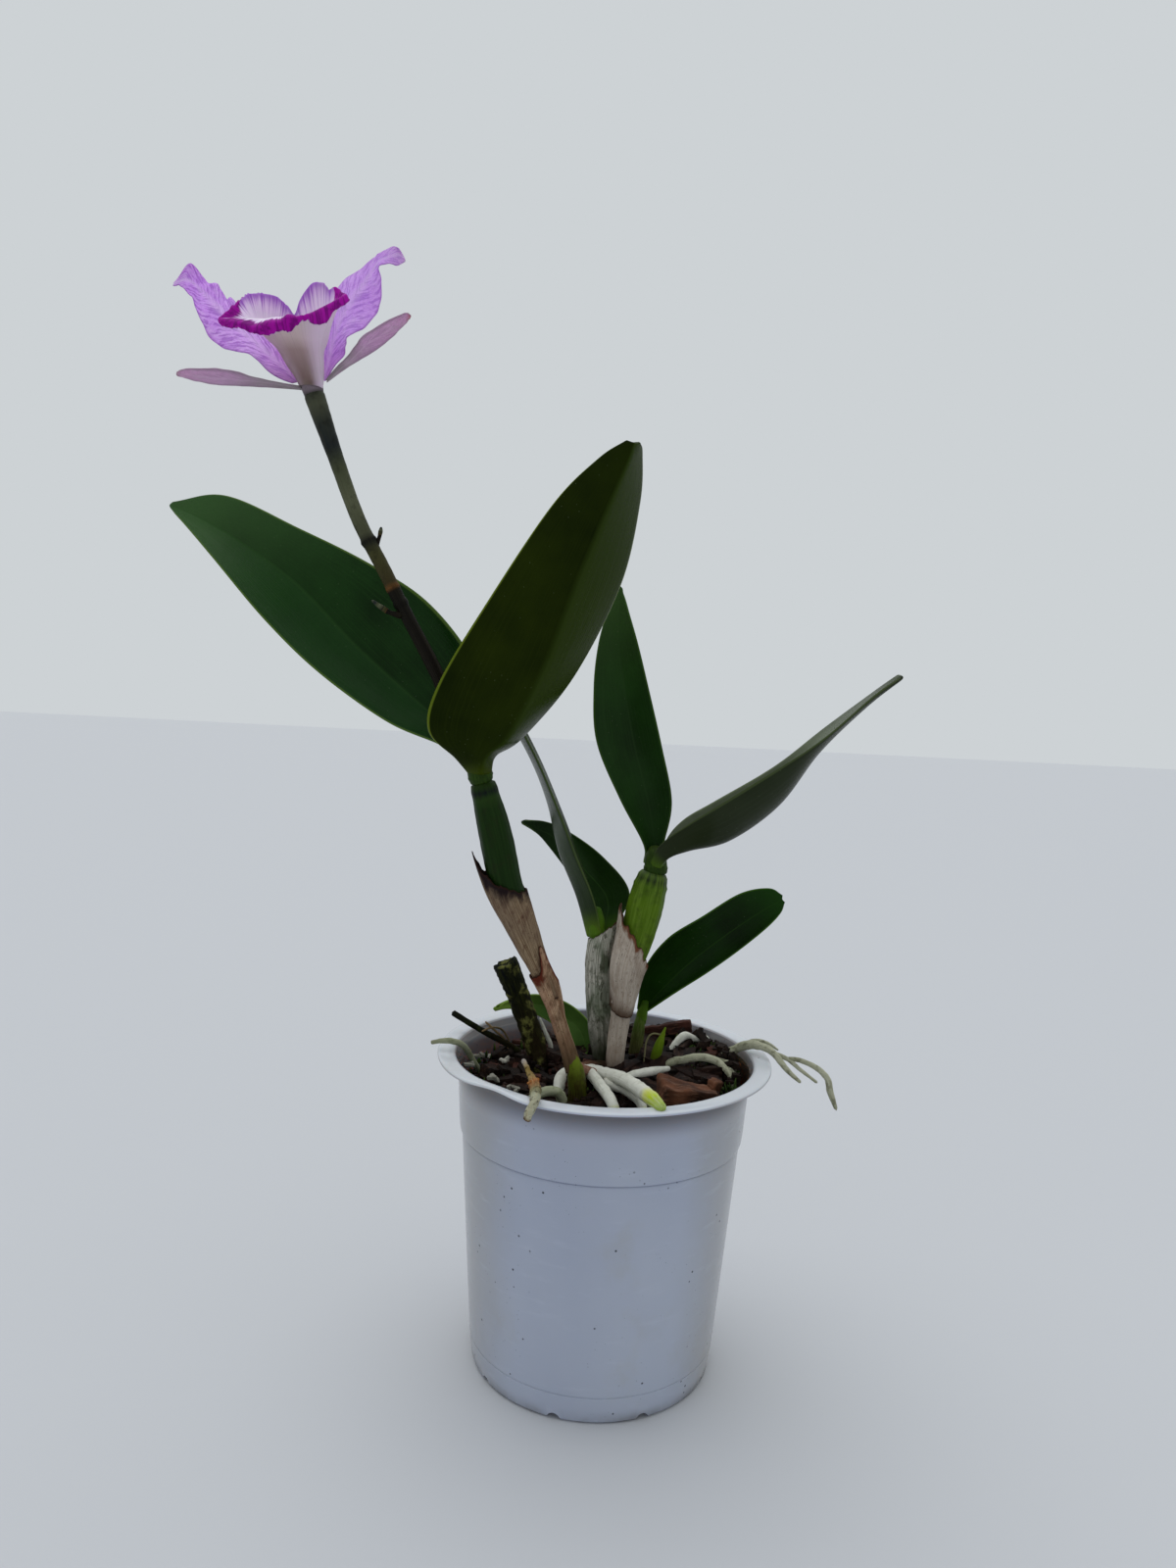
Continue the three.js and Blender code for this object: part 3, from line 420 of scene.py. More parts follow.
@dataclass(frozen=True)
class SkinFinish:
    """The skin of a limb, which changes along it, with streaks and blotches."""

    name: str
    stops: Stops
    streak: Colour
    streak_share: float = 0.4
    blotch: Colour = "#20200f"
    blotch_share: float = 0.3
    blotch_scale: float = 260.0
    roughness: float = 0.5
    depth: float = 0.15
    coarse: float = 0.0
    gloss: float = 0.08

    def material(self) -> Material:
        """Builds the material.

        Returns:
            The material.
        """
        s = Shader(self.name, Roughness=self.roughness, Specular_IOR_Level=self.gloss)
        streaks = s.noise(Coordinates.GRAIN, (7, 7, 5), 4, 0.6)
        blotches = s.cloud(self.blotch_scale, 5, 0.6)
        s.colour = s.ramp(s.parts()[2], self.stops)
        s.tint(self.streak, s.mask(streaks, 0.42, 0.68), self.streak_share)
        s.tint(self.blotch, s.mask(blotches, 0.5, 0.66), self.blotch_share)
        s.relief(streaks, self.depth)
        if self.coarse:
            s.relief(blotches, self.coarse)
        return s.finish()


@dataclass(frozen=True)
class PaperFinish:
    """A dry papery sheath: lengthwise fibres, stains, cracks, specks and brown ends."""

    name: str
    pale: Colour
    brown: Colour
    top: Colour
    stain: Colour
    stain_share: float = 0.5
    top_from: float = 0.8
    foot: Colour = "#4a3626"
    foot_to: float = 0.12
    cast: Colour = "#5d6350"
    cast_share: float = 0.0
    crack: Colour = "#241610"
    rim: Colour = "#2b160e"
    speck: Colour = "#2e2018"

    def material(self) -> Material:
        """Builds the material.

        Returns:
            The material.
        """
        s = Shader(self.name, Roughness=0.75, Specular_IOR_Level=0.12)
        _, _, v = s.parts()
        fibres = s.noise(Coordinates.GRAIN, (16, 16, 1.2), 5, 0.75)
        cracks = s.noise(Coordinates.GRAIN, (9, 9, 2.2), 4, 0.55, 1.2)
        broad = s.noise(Coordinates.OBJECT, (75, 75, 45), 3)
        stains = s.noise(Coordinates.OBJECT, (150, 150, 80), 5, 0.62, 0.5)
        fine = s.noise(Coordinates.OBJECT, (620, 620, 300), 4, 0.65)
        uneven = s.plus(v, s.times(s.minus(stains, 0.5), 0.4))
        s.colour = s.ramp(fibres, ((0.36, self.brown), (0.6, self.pale)))
        s.tint(self.stain, s.mask(stains, 0.48, 0.62), self.stain_share)
        s.tint(self.cast, s.mask(broad, 0.45, 0.6), self.cast_share)
        s.tint(self.stain, s.mask(fine, 0.53, 0.66), self.stain_share)
        s.tint(self.crack, s.mask(s.away(cracks, 0.5), 0.012, 0.0), 0.75)
        s.tint(self.top, s.mask(uneven, self.top_from, 1.0))
        s.tint(self.foot, s.mask(uneven, self.foot_to, 0.0))
        s.tint(self.rim, s.mask(s.maths("MINIMUM", v, s.minus(1.0, v)), 0.018, 0.004), 0.8)
        s.tint(self.speck, s.mask(s.cells(700), 0.16, 0.08), 0.7)
        s.relief(fibres, 0.3)
        s.relief(stains, 0.4)
        return s.finish()


@dataclass(frozen=True)
class TepalFinish:
    """A petal or sepal: soft, veined lengthwise, and paler or browner to its tip."""

    name: str
    stops: Stops
    vein: Colour
    vein_share: float = 0.5
    pale: Colour = "#e3c8f4"
    pale_width: float = 0.3
    edge: Colour = "#8a55a8"
    edge_from: float = 0.9
    edge_share: float = 0.55
    veins_along: float = 36.0
    veins_across: float = 2.2

    def material(self) -> Material:
        """Builds the material.

        Returns:
            The material.
        """
        s = Shader(
            self.name, Roughness=0.6, Specular_IOR_Level=0.07, Sheen_Weight=0.03,
            Subsurface_Weight=0.35, Subsurface_Radius=(0.002, 0.0012, 0.002), Subsurface_Scale=1.0,
        )
        u, v, _ = s.parts()
        side = s.away(u)
        clouds = s.cloud(120, 4)
        crinkle = s.cloud(560, 3, 0.6, 0.7)
        spread = s.plus(s.minus(v, s.times(side, 0.2)), s.times(clouds, 0.07))
        place = s.node(
            "ShaderNodeCombineXYZ",
            X=s.times(spread, self.veins_along),
            Y=s.times(u, self.veins_across),
        )
        veins = s.node(
            "ShaderNodeTexNoise", Vector=place.outputs[0], Scale=1.0, Detail=4.0, Roughness=0.6
        ).outputs["Fac"]
        s.colour = s.ramp(v, self.stops)
        s.tint(self.pale, s.mask(clouds, 0.46, 0.7), 0.35)
        s.tint(self.vein, s.mask(veins, 0.47, 0.58), self.vein_share)
        s.tint(self.edge, s.mask(s.away(crinkle, 0.5), 0.05, 0.0), 0.22)
        s.tint(self.pale, s.mask(side, self.pale_width, 0.0), 0.36)
        s.tint(self.edge, s.mask(side, self.edge_from, 1.0), self.edge_share)
        s.relief(veins, 0.25)
        s.relief(crinkle, 0.12)
        return s.finish()


class LipFace(Enum):
    """The two faces of the lip."""

    INSIDE = "inside"
    OUTSIDE = "outside"


@dataclass(frozen=True)
class LipFinish:
    """One face of the lip, which ends in a deep magenta frill."""

    face: LipFace
    magenta: Colour = "#a4109c"
    deep: Colour = "#5e0862"
    violet: Colour = "#8f32ba"
    dusty: Colour = "#e8ddd2"
    # Painted light: the tube's flanks are paler than its front.
    left_flank_light: Colour = "#c9aebd"
    right_flank_light: Colour = "#eed6ee"
    streak: Colour = "#84686c"
    rim: Colour = "#b27ccb"
    throat: Stops = ((0.0, "#cdbf8f"), (0.5, "#f2e6ec"), (0.7, "#f8eefa"), (0.84, "#ecccf8"))
    # Painted shade: the outside's taupe, darkest at the tube's foot, lies on a whitish tube.
    back: Stops = (
        (0.0, "#75625a"), (0.15, "#8a726f"), (0.33, "#9f8886"), (0.44, "#ae9894"),
        (0.54, "#d8c6c2"), (0.84, "#f0e6e0"),
    )
    ahead: float = 0.978
    aside: float = 0.208

    def material(self) -> Material:
        """Builds the material.

        Returns:
            The material.
        """
        s = Shader(
            f"lip_{self.face.value}", Roughness=0.6, Specular_IOR_Level=0.05,
            Subsurface_Weight=0.2, Subsurface_Radius=(0.0015, 0.0008, 0.0015), Subsurface_Scale=1.0,
        )
        front, right, v = s.parts()
        rays = s.noise(Coordinates.GRAIN, (24, 24, 1.5), 4, 0.6)
        mottle = s.cloud(520, 3, 0.6)
        ragged = s.plus(v, s.times(s.minus(rays, 0.5), 0.14))
        if self.face is LipFace.INSIDE:
            facing = s.plus(s.times(front, self.ahead), s.times(right, self.aside))
            near = s.times(s.mask(facing, 0.12, 0.42), 0.24)
            corner = s.times(s.mask(s.away(facing, 0.1), 0.42, 0.12), 0.25)
            s.colour = s.ramp(v, self.throat)
            s.tint(self.violet, s.mask(rays, 0.46, 0.6), s.mask(v, 0.71, 0.83), 0.5)
            s.tint(self.violet, s.mask(ragged, 0.775, 0.86), 0.72)
            band = s.mask(s.plus(ragged, s.maths("MAXIMUM", near, corner)), 1.02, 1.05)
        else:
            # Painted shade and light on the whitish tube: taupe at its front and foot, paler on the flanks.
            across = s.minus(s.times(right, self.ahead), s.times(front, self.aside))
            s.colour = s.ramp(v, self.back)
            s.tint(self.left_flank_light, s.mask(across, -0.4, -0.95), 0.5)
            s.tint(self.right_flank_light, s.mask(across, 0.0, 0.9), 0.9)
            s.tint(self.streak, s.mask(rays, 0.5, 0.7), 0.22)
            s.tint(self.rim, s.mask(ragged, 0.76, 0.9), 0.7)
            band = s.mask(ragged, 0.985, 1.01)
        s.tint(self.dusty, s.mask(s.cloud(140), 0.45, 0.7), 0.12)
        s.tint(self.magenta, band)
        patchy = s.maths("MAXIMUM", s.mask(rays, 0.47, 0.62), s.mask(mottle, 0.5, 0.64))
        s.tint(self.deep, patchy, band, 0.7)
        s.relief(rays, 0.25)
        s.relief(mottle, 0.15)
        return s.finish()


@dataclass(frozen=True)
class PlasticFinish:
    """The pot's moulded plastic: faint clouding, scuffs, dirt at the foot and dark specks, with painted
    light on its flanks and the rim's top, and painted shade under the rim and on the inner wall.

    Pairs of places are in metres, where a colour is absent and where it is full.
    """

    base: Colour = "#a6acc0"
    light: Colour = "#b5bac9"
    # Of the colours below, the flank, inner-wall, rim-top and under-rim ones are painted light and shade.
    flank_light: Colour = "#a09fa1"
    inner: Colour = "#7d857c"
    inner_left_shade: Colour = "#555e69"
    black: Colour = "#1b1b17"
    rim: Colour = "#d2d6dc"
    dirt: Colour = "#5a5750"
    rim_shadow: Colour = "#3f4348"
    scuff: Colour = "#c9cfdd"
    stain: Colour = "#a79f8a"
    speck: Colour = "#23252c"
    specks: tuple[tuple[float, float, float], ...] = ((230, 0.12, 0.9), (520, 0.1, 0.6))
    flank_light_at: Span = (0.03, 0.05)
    inside_at: Span = (0.0416, 0.0412)
    mouth_at: Span = (0.08, 0.09)
    inner_left_shade_at: Span = (0.0, -0.03)
    deep_shadow_at: Span = (0.032, 0.045)
    under_rim: Span = (0.099, 0.1085)
    under_lip: Span = (0.1112, 0.1108)
    rim_top_light_at: Span = (0.1113, 0.1118)
    foot_at: Span = (0.005, 0.0)
    wall_slope: float = 0.1
    roughness: Stops = ((0.3, "#6a6a6a"), (0.7, "#8c8c8c"))

    def material(self) -> Material:
        """Builds the material.

        Returns:
            The material.
        """
        s = Shader("pot_plastic", Specular_IOR_Level=0.45, Subsurface_Weight=0.05)
        x, y, z = s.parts(Coordinates.OBJECT)
        radius = s.maths("SQRT", s.plus(s.times(x, x), s.times(y, y)))
        clouds = s.noise(Coordinates.OBJECT, (14, 14, 9), 4)
        scuffs = s.noise(Coordinates.OBJECT, (60, 60, 320), 4, 0.65)
        grime = s.noise(Coordinates.OBJECT, (32, 32, 24), 5, 0.6)
        inward = s.minus(radius, s.times(z, self.wall_slope))
        within = s.times(s.mask(inward, *self.inside_at), s.mask(z, *self.mouth_at))
        s.colour = s.ramp(clouds, ((0.3, self.base), (0.72, self.light)))
        # Painted reflection: the flanks turn warm grey for the light they catch from the sides.
        s.tint(self.flank_light, s.mask(s.plus(s.away(x), s.times(grime, 0.012)), *self.flank_light_at), 0.85)
        s.tint(self.scuff, s.mask(scuffs, 0.55, 0.75), 0.16)
        # Painted shade and greenish grime: the wall inside the pot is darker.
        s.tint(self.inner, within, 0.7)
        # Painted shade: the inner wall's left part is darker still.
        s.tint(self.inner_left_shade, within, s.mask(x, *self.inner_left_shade_at))
        # Painted shadow: near-black patches on the inner wall's right, for the deep shade there.
        s.tint(self.black, within, s.times(s.mask(x, *self.deep_shadow_at), s.mask(grime, 0.3, 0.5)))
        # Painted shadow: the outer wall darkens just under the rim's overhang.
        shade = s.times(s.mask(z, *self.under_rim), s.mask(z, *self.under_lip))
        s.tint(self.rim_shadow, shade, s.minus(1.0, within), 0.8)
        # Painted light: the rim's top is lighter, as lit from above.
        s.tint(self.rim, s.mask(z, *self.rim_top_light_at), 0.85)
        s.tint(self.dirt, s.mask(z, *self.foot_at), s.mask(grime, 0.35, 0.6), 0.65)
        s.tint(self.stain, s.mask(grime, 0.56, 0.74), 0.22)
        gate = s.mask(s.cloud(48, 2), 0.53, 0.6)
        for size, far, share in self.specks:
            s.tint(self.speck, s.mask(s.cells(size), far, far / 2), gate, share)
        s.relief(scuffs, 0.03)
        return s.finish(s.ramp(scuffs, self.roughness))


@dataclass(frozen=True)
class BarkFinish:
    """Composted bark: fibrous, dark and wet; its darkest colours are partly painted deep shade."""

    name: str
    # The default near-black is partly painted deep shade between the pieces.
    dark: Colour = "#080605"
    light: Colour = "#241812"
    dust: Colour = "#4a382c"
    roughness: float = 0.75

    def material(self) -> Material:
        """Builds the material.

        Returns:
            The material.
        """
        s = Shader(self.name, Roughness=self.roughness, Specular_IOR_Level=0.12)
        fibres = s.noise(Coordinates.GRAIN, (900, 170, 900), 4, 0.65)
        clouds = s.cloud(120, 5, 0.6)
        s.colour = s.ramp(clouds, ((0.35, self.dark), (0.68, self.light)))
        s.tint(self.dust, s.mask(fibres, 0.5, 0.72), 0.5)
        s.relief(fibres, 0.35)
        s.relief(clouds, 0.6)
        return s.finish()


@dataclass(frozen=True)
class MossFinish:
    """Low moss and algae, from dark to bright green."""

    greens: Stops = ((0.3, "#1a2a0c"), (0.55, "#3a5218"), (0.75, "#6d8430"))

    def material(self) -> Material:
        """Builds the material.

        Returns:
            The material.
        """
        s = Shader("moss", Roughness=0.8, Specular_IOR_Level=0.2)
        s.colour = s.ramp(s.cloud(90, 4), self.greens)
        s.relief(s.cloud(1200, 2), 0.1)
        return s.finish()


# Curves and meshes.


@dataclass(frozen=True)
class Rail:
    """A smooth curve through points in millimetres."""

    points: Sequence[Point]
    closed: bool = False

    def at(self, t: float) -> Vector:
        """The point at t, from 0 to 1.

        Args:
            t: The place along it.

        Returns:
            The point, in millimetres.
        """
        spans = len(self.points) - (0 if self.closed else 1)
        place = min(max(t, 0.0), 1.0) * spans
        i = min(int(place), spans - 1)
        return between((self.point(i + k) for k in (-1, 0, 1, 2)), place - i)

    def point(self, i: int) -> Vector:
        """A point by number, past the ends too.

        Args:
            i: The point's number.

        Returns:
            The point, in millimetres.
        """
        last = len(self.points) - 1
        if self.closed:
            return Vector(self.points[i % (last + 1)])
        if i < 0:
            return 2 * Vector(self.points[0]) - Vector(self.points[1])
        if i > last:
            return 2 * Vector(self.points[last]) - Vector(self.points[last - 1])
        return Vector(self.points[i])

    def tangent(self, t: float) -> Vector:
        """The direction at t."""
        low, high = max(t - 1e-4, 0.0), min(t + 1e-4, 1.0)
        return (self.at(high) - self.at(low)).normalized()


@dataclass
class Sheet:
    """A grid of points under construction, each with its grain."""

    across: int
    length: int

    def __post_init__(self) -> None:
        """Makes the flat grid, with u from -1 to 1 and v from 0 to 1."""
        self.mesh = bmesh.new()
        self.grain = self.mesh.verts.layers.float_vector.new("grain")
        self.weight = self.mesh.verts.layers.deform.verify()
        bmesh.ops.create_grid(
            self.mesh, x_segments=self.across, y_segments=self.length, size=1.0
        )

    def shape(self, place: Callable[[float, float], Spot]) -> None:
        """Moves every point.

        Args:
            place: Gives a point in millimetres, its grain and its share of the thickness,
                from u and v.
        """
        for vert in self.mesh.verts:
            where, grain, share = place(vert.co.x, (vert.co.y + 1) / 2)
            vert[self.grain] = grain
            vert[self.weight][0] = share
            vert.co = where * MM

    def close(self, capped: bool) -> None:
        """Joins the sheet's two long edges into a tube, and caps its ends where asked.

        Args:
            capped: Whether the tube's ends are filled.
        """
        bmesh.ops.remove_doubles(self.mesh, verts=self.mesh.verts, dist=1e-7)
        if capped:
            bmesh.ops.holes_fill(self.mesh, edges=self.mesh.edges, sides=0)
        bmesh.ops.recalc_face_normals(self.mesh, faces=self.mesh.faces)


def link(name: str, data: bpy.types.ID) -> Solid:
    """A new object in the scene.

    Args:
        name: The object's name.
        data: Its mesh, light or camera.

    Returns:
        The object, at the origin.
    """
    made = bpy.data.objects.new(name, data)
    bpy.context.scene.collection.objects.link(made)
    return made


def join_meshes(parts: Sequence[Mesh]) -> Mesh:
    """Puts several meshes in the first one, and frees the others.

    Args:
        parts: The meshes, of which the first stays.

    Returns:
        The whole.
    """
    whole = parts[0]
    for part in parts[1:]:
        held = bpy.data.meshes.new("held")
        part.to_mesh(held)
        part.free()
        whole.from_mesh(held)
        bpy.data.meshes.remove(held)
    return whole


def roughen(mesh: Mesh, depth: float, size: float, seed: float = 0.0) -> None:
    """Moves a mesh's points along their normals by cloudy noise.

    Args:
        mesh: What is roughened.
        depth: The largest move, in millimetres.
        size: The size of a lump, in millimetres.
        seed: Shifts the pattern.
    """
    mesh.normal_update()
    for vert in mesh.verts:
        spot = vert.co / (size * MM) + Vector((seed, seed * 1.7, -seed))
        vert.co += vert.normal * noise.fractal(spot, 1.0, 2.0, 3) * depth * MM


@dataclass
class Piece:
    """A finished object of the model."""

    name: str
    mesh: Mesh
    slot: str
    materials: Sequence[Material]
    replaces: Sequence[str] = ()
    thickness: float = 0.0
    thinnest: float = 0.5
    inner_material: int = 0
    smoothing: int = 0
    sharp_from: float = 180.0

    def make(self) -> Solid:
        """Makes the object, sets its modifiers and puts it on the frame.

        Returns:
            The new object, at the origin.
        """
        data = bpy.data.meshes.new(self.name)
        for face in self.mesh.faces:
            face.smooth = True
        self.mesh.to_mesh(data)
        self.mesh.free()
        for material in self.materials:
            data.materials.append(material)
        if self.sharp_from < 180:
            data.set_sharp_from_angle(angle=math.radians(self.sharp_from))
        piece = link(self.name, data)
        if self.thickness:
            self.thicken(piece)
        if self.smoothing:
            rounded = piece.modifiers.new("rounded", "SUBSURF")
            rounded.levels = self.smoothing
            rounded.render_levels = self.smoothing
        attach(piece, "root")
        if self.replaces:
            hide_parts(*self.replaces)
        LOG.info("%s: %d faces, slot %s", self.name, len(data.polygons), self.slot)
        return piece

    def thicken(self, piece: Solid) -> None:
        """Gives a sheet its thickness, thinner where its points' shares are smaller.

        Args:
            piece: The object of the sheet.
        """
        piece.vertex_groups.new(name="body")
        wall = piece.modifiers.new("wall", "SOLIDIFY")
        wall.thickness = self.thickness * MM
        wall.offset = 0
        wall.vertex_group = "body"
        wall.thickness_vertex_group = self.thinnest
        wall.material_offset = self.inner_material


# Limbs and blades.


@dataclass(frozen=True)
class Limb:
    """A round tapering limb along a spine: pseudobulb, stem, root or twig."""

    spine: Sequence[Point]
    radii: Sequence[float]
    ribs: int = 0
    rib_depth: float = 0.0

    def frame(self, t: float, side: Vector) -> Axes:
        """The spine's point at t and two directions square to it.

        Args:
            t: The place along the spine.
            side: The direction wished for the first one.

        Returns:
            The point, the direction nearest to that, and the one square to both.
        """
        rail = Rail(self.spine)
        tangent = rail.tangent(t)
        side = (side - tangent * side.dot(tangent)).normalized()
        return rail.at(t), side, tangent.cross(side)

    def frames(self, steps: int) -> list[Axes]:
        """Frames at even steps, each turned as little as may be from the one before.

        Args:
            steps: How many steps there are.

        Returns:
            One frame more than there are steps.
        """
        start = Rail(self.spine).tangent(0)
        side = Vector((1, 0, 0)) if abs(start.x) < 0.8 else Vector((0, 0, 1))
        made = []
        for i in range(steps + 1):
            made.append(self.frame(i / steps, side))
            side = made[-1][1]
        return made

    def surface(self, frames: list[Axes], t: float, angle: float, radius: float) -> Vector:
        """The point at t along the limb, at an angle and a distance from its spine.

        Args:
            frames: The limb's frames.
            t: The place along it.
            angle: The turn from the frame's first direction, in radians.
            radius: The distance from the spine.

        Returns:
            The point, in millimetres.
        """
        place = min(max(t, 0.0), 1.0) * (len(frames) - 1)
        i = min(int(place), len(frames) - 2)
        ends = []
        for at, side, up in frames[i : i + 2]:
            ends.append(at + (side * math.cos(angle) + up * math.sin(angle)) * radius)
        return ends[0].lerp(ends[1], place - i)

    def mesh(
        self,
        sides: int = 20,
        steps: int = 48,
        dome: float = 0.5,
        lumps: float = 0.0,
        rings: Sequence[Point] = (),
    ) -> Mesh:
        """A closed mesh of the limb.

        Args:
            sides: Faces round it.
            steps: Faces along it.
            dome: How far its ends are rounded, as a share of their radius.
            lumps: Unevenness, as a share of its radius.
            rings: Raised rings, each its place, its width and its height in millimetres.

        Returns:
            The mesh, in metres.
        """
        frames = self.frames(steps)
        span = sum((b[0] - a[0]).length for a, b in zip(frames, frames[1:]))
        sheet = Sheet(sides, steps)

        def place(u: float, v: float) -> Spot:
            """The limb's surface.

            Args:
                u: From -1 to 1 round it.
                v: From 0 to 1 along it.

            Returns:
                The point in millimetres, its grain and its share of the thickness.
            """
            angle = u * math.pi
            radius = along(self.radii, v)
            radius *= 1 + self.rib_depth * math.cos(self.ribs * angle) if self.ribs else 1
            radius += sum(h * math.exp(-(((v - at) / w) ** 2)) for at, w, h in rings)
            for end in (v, 1 - v):
                reach = end * span / max(dome * radius, 1e-6)
                radius *= math.sqrt(max(1 - (1 - min(reach, 1)) ** 2, 0.02))
            spot = self.surface(frames, v, angle, radius)
            if lumps:
                radius *= 1 + lumps * noise.noise(spot * 0.55)
                spot = self.surface(frames, v, angle, radius)
            return spot, (math.cos(angle), math.sin(angle), v), 1.0

        sheet.shape(place)
        sheet.close(capped=True)
        return sheet.mesh


@dataclass(frozen=True)
class Blade:
    """A leaf, petal or sepal between its two margins and its midrib."""

    left: Sequence[Point]
    rib: Sequence[Point]
    right: Sequence[Point]
    keel: float = 0.5
    wave: float = 0.0
    waves: float = 0.0

    def mesh(self, across: int, length: int, ruffle: float = 0.0) -> Mesh:
        """An open sheet of the blade.

        Args:
            across: Faces across it.
            length: Faces along it.
            ruffle: Height of the small frills on its margins, in millimetres.

        Returns:
            The mesh, in metres, not yet thick.
        """
        rails = [Rail(points) for points in (self.left, self.rib, self.right)]
        sheet = Sheet(across, length)

        def place(u: float, v: float) -> Spot:
            """The blade's surface.

            Args:
                u: From -1 to 1 across it.
                v: From 0 to 1 along it.

            Returns:
                The point in millimetres, its grain and its share of the thickness.
            """
            a, m, b = (rail.at(v) for rail in rails)
            curved = m + (b - a) * (u / 2) + ((a + b) / 2 - m) * (u * u)
            folded = m.lerp(a if u < 0 else b, abs(u))
            spot = curved.lerp(folded, self.keel)
            facing = (b - m).cross(rails[1].tangent(v)).normalized()
            height = self.wave * u * u * math.sin(v * math.tau * self.waves + u)
            if ruffle:
                frill = noise.noise(Vector((v * 19, u * 1.5, self.waves)))
                height += ruffle * u**4 * frill * smooth_step(v, 0.05, 0.4)
            return spot + facing * height, (u, v, 0.0), 1 - 0.75 * u * u

        sheet.shape(place)
        bmesh.ops.recalc_face_normals(sheet.mesh, faces=sheet.mesh.faces)
        return sheet.mesh


@dataclass(frozen=True)
class Sheath:
    """A papery sheath round a limb, from one place along it up to a torn margin."""

    host: Limb
    start: float
    margin: Callable[[float], float]
    gap: float = 0.45
    foot: Callable[[float], float] = lambda angle: 0.0
    flare: Callable[[float], float] = lambda angle: 0.0
    tear: float = 0.012
    crumple: float = 0.35

    def mesh(self, seed: float) -> Mesh:
        """An open sheet of the sheath, crumpled and torn by a seeded pattern.

        Args:
            seed: Shifts the pattern.

        Returns:
            The mesh, in metres, not yet thick.
        """
        frames = self.host.frames(48)
        sheet = Sheet(64, 44)

        def place(u: float, v: float) -> Spot:
            """The sheath's surface.

            Args:
                u: From -1 to 1 round it.
                v: From 0 to 1 along it.

            Returns:
                The point in millimetres, its grain and its share of the thickness.
            """
            angle = u * math.pi
            ragged = Vector((math.cos(angle) * 4, math.sin(angle) * 4, seed))
            top = self.margin(angle) + self.tear * noise.fractal(ragged, 0.8, 2.2, 4)
            low = self.start + self.foot(angle) + 0.4 * self.tear * noise.noise(ragged * 1.3)
            t = low + (top - low) * v
            radius = along(self.host.radii, t) * (1 + self.host.rib_depth) + self.gap + 0.3
            radius += self.flare(angle) * v**3
            fold = Vector((math.cos(angle) * 2.4, math.sin(angle) * 2.4, t * 5 + seed))
            radius += self.crumple * noise.fractal(fold, 0.9, 2.1, 3)
            spot = self.host.surface(frames, t, angle, radius)
            return spot, (math.cos(angle), math.sin(angle), v), 1.0

        sheet.shape(place)
        sheet.close(capped=False)
        return sheet.mesh


# The pot.


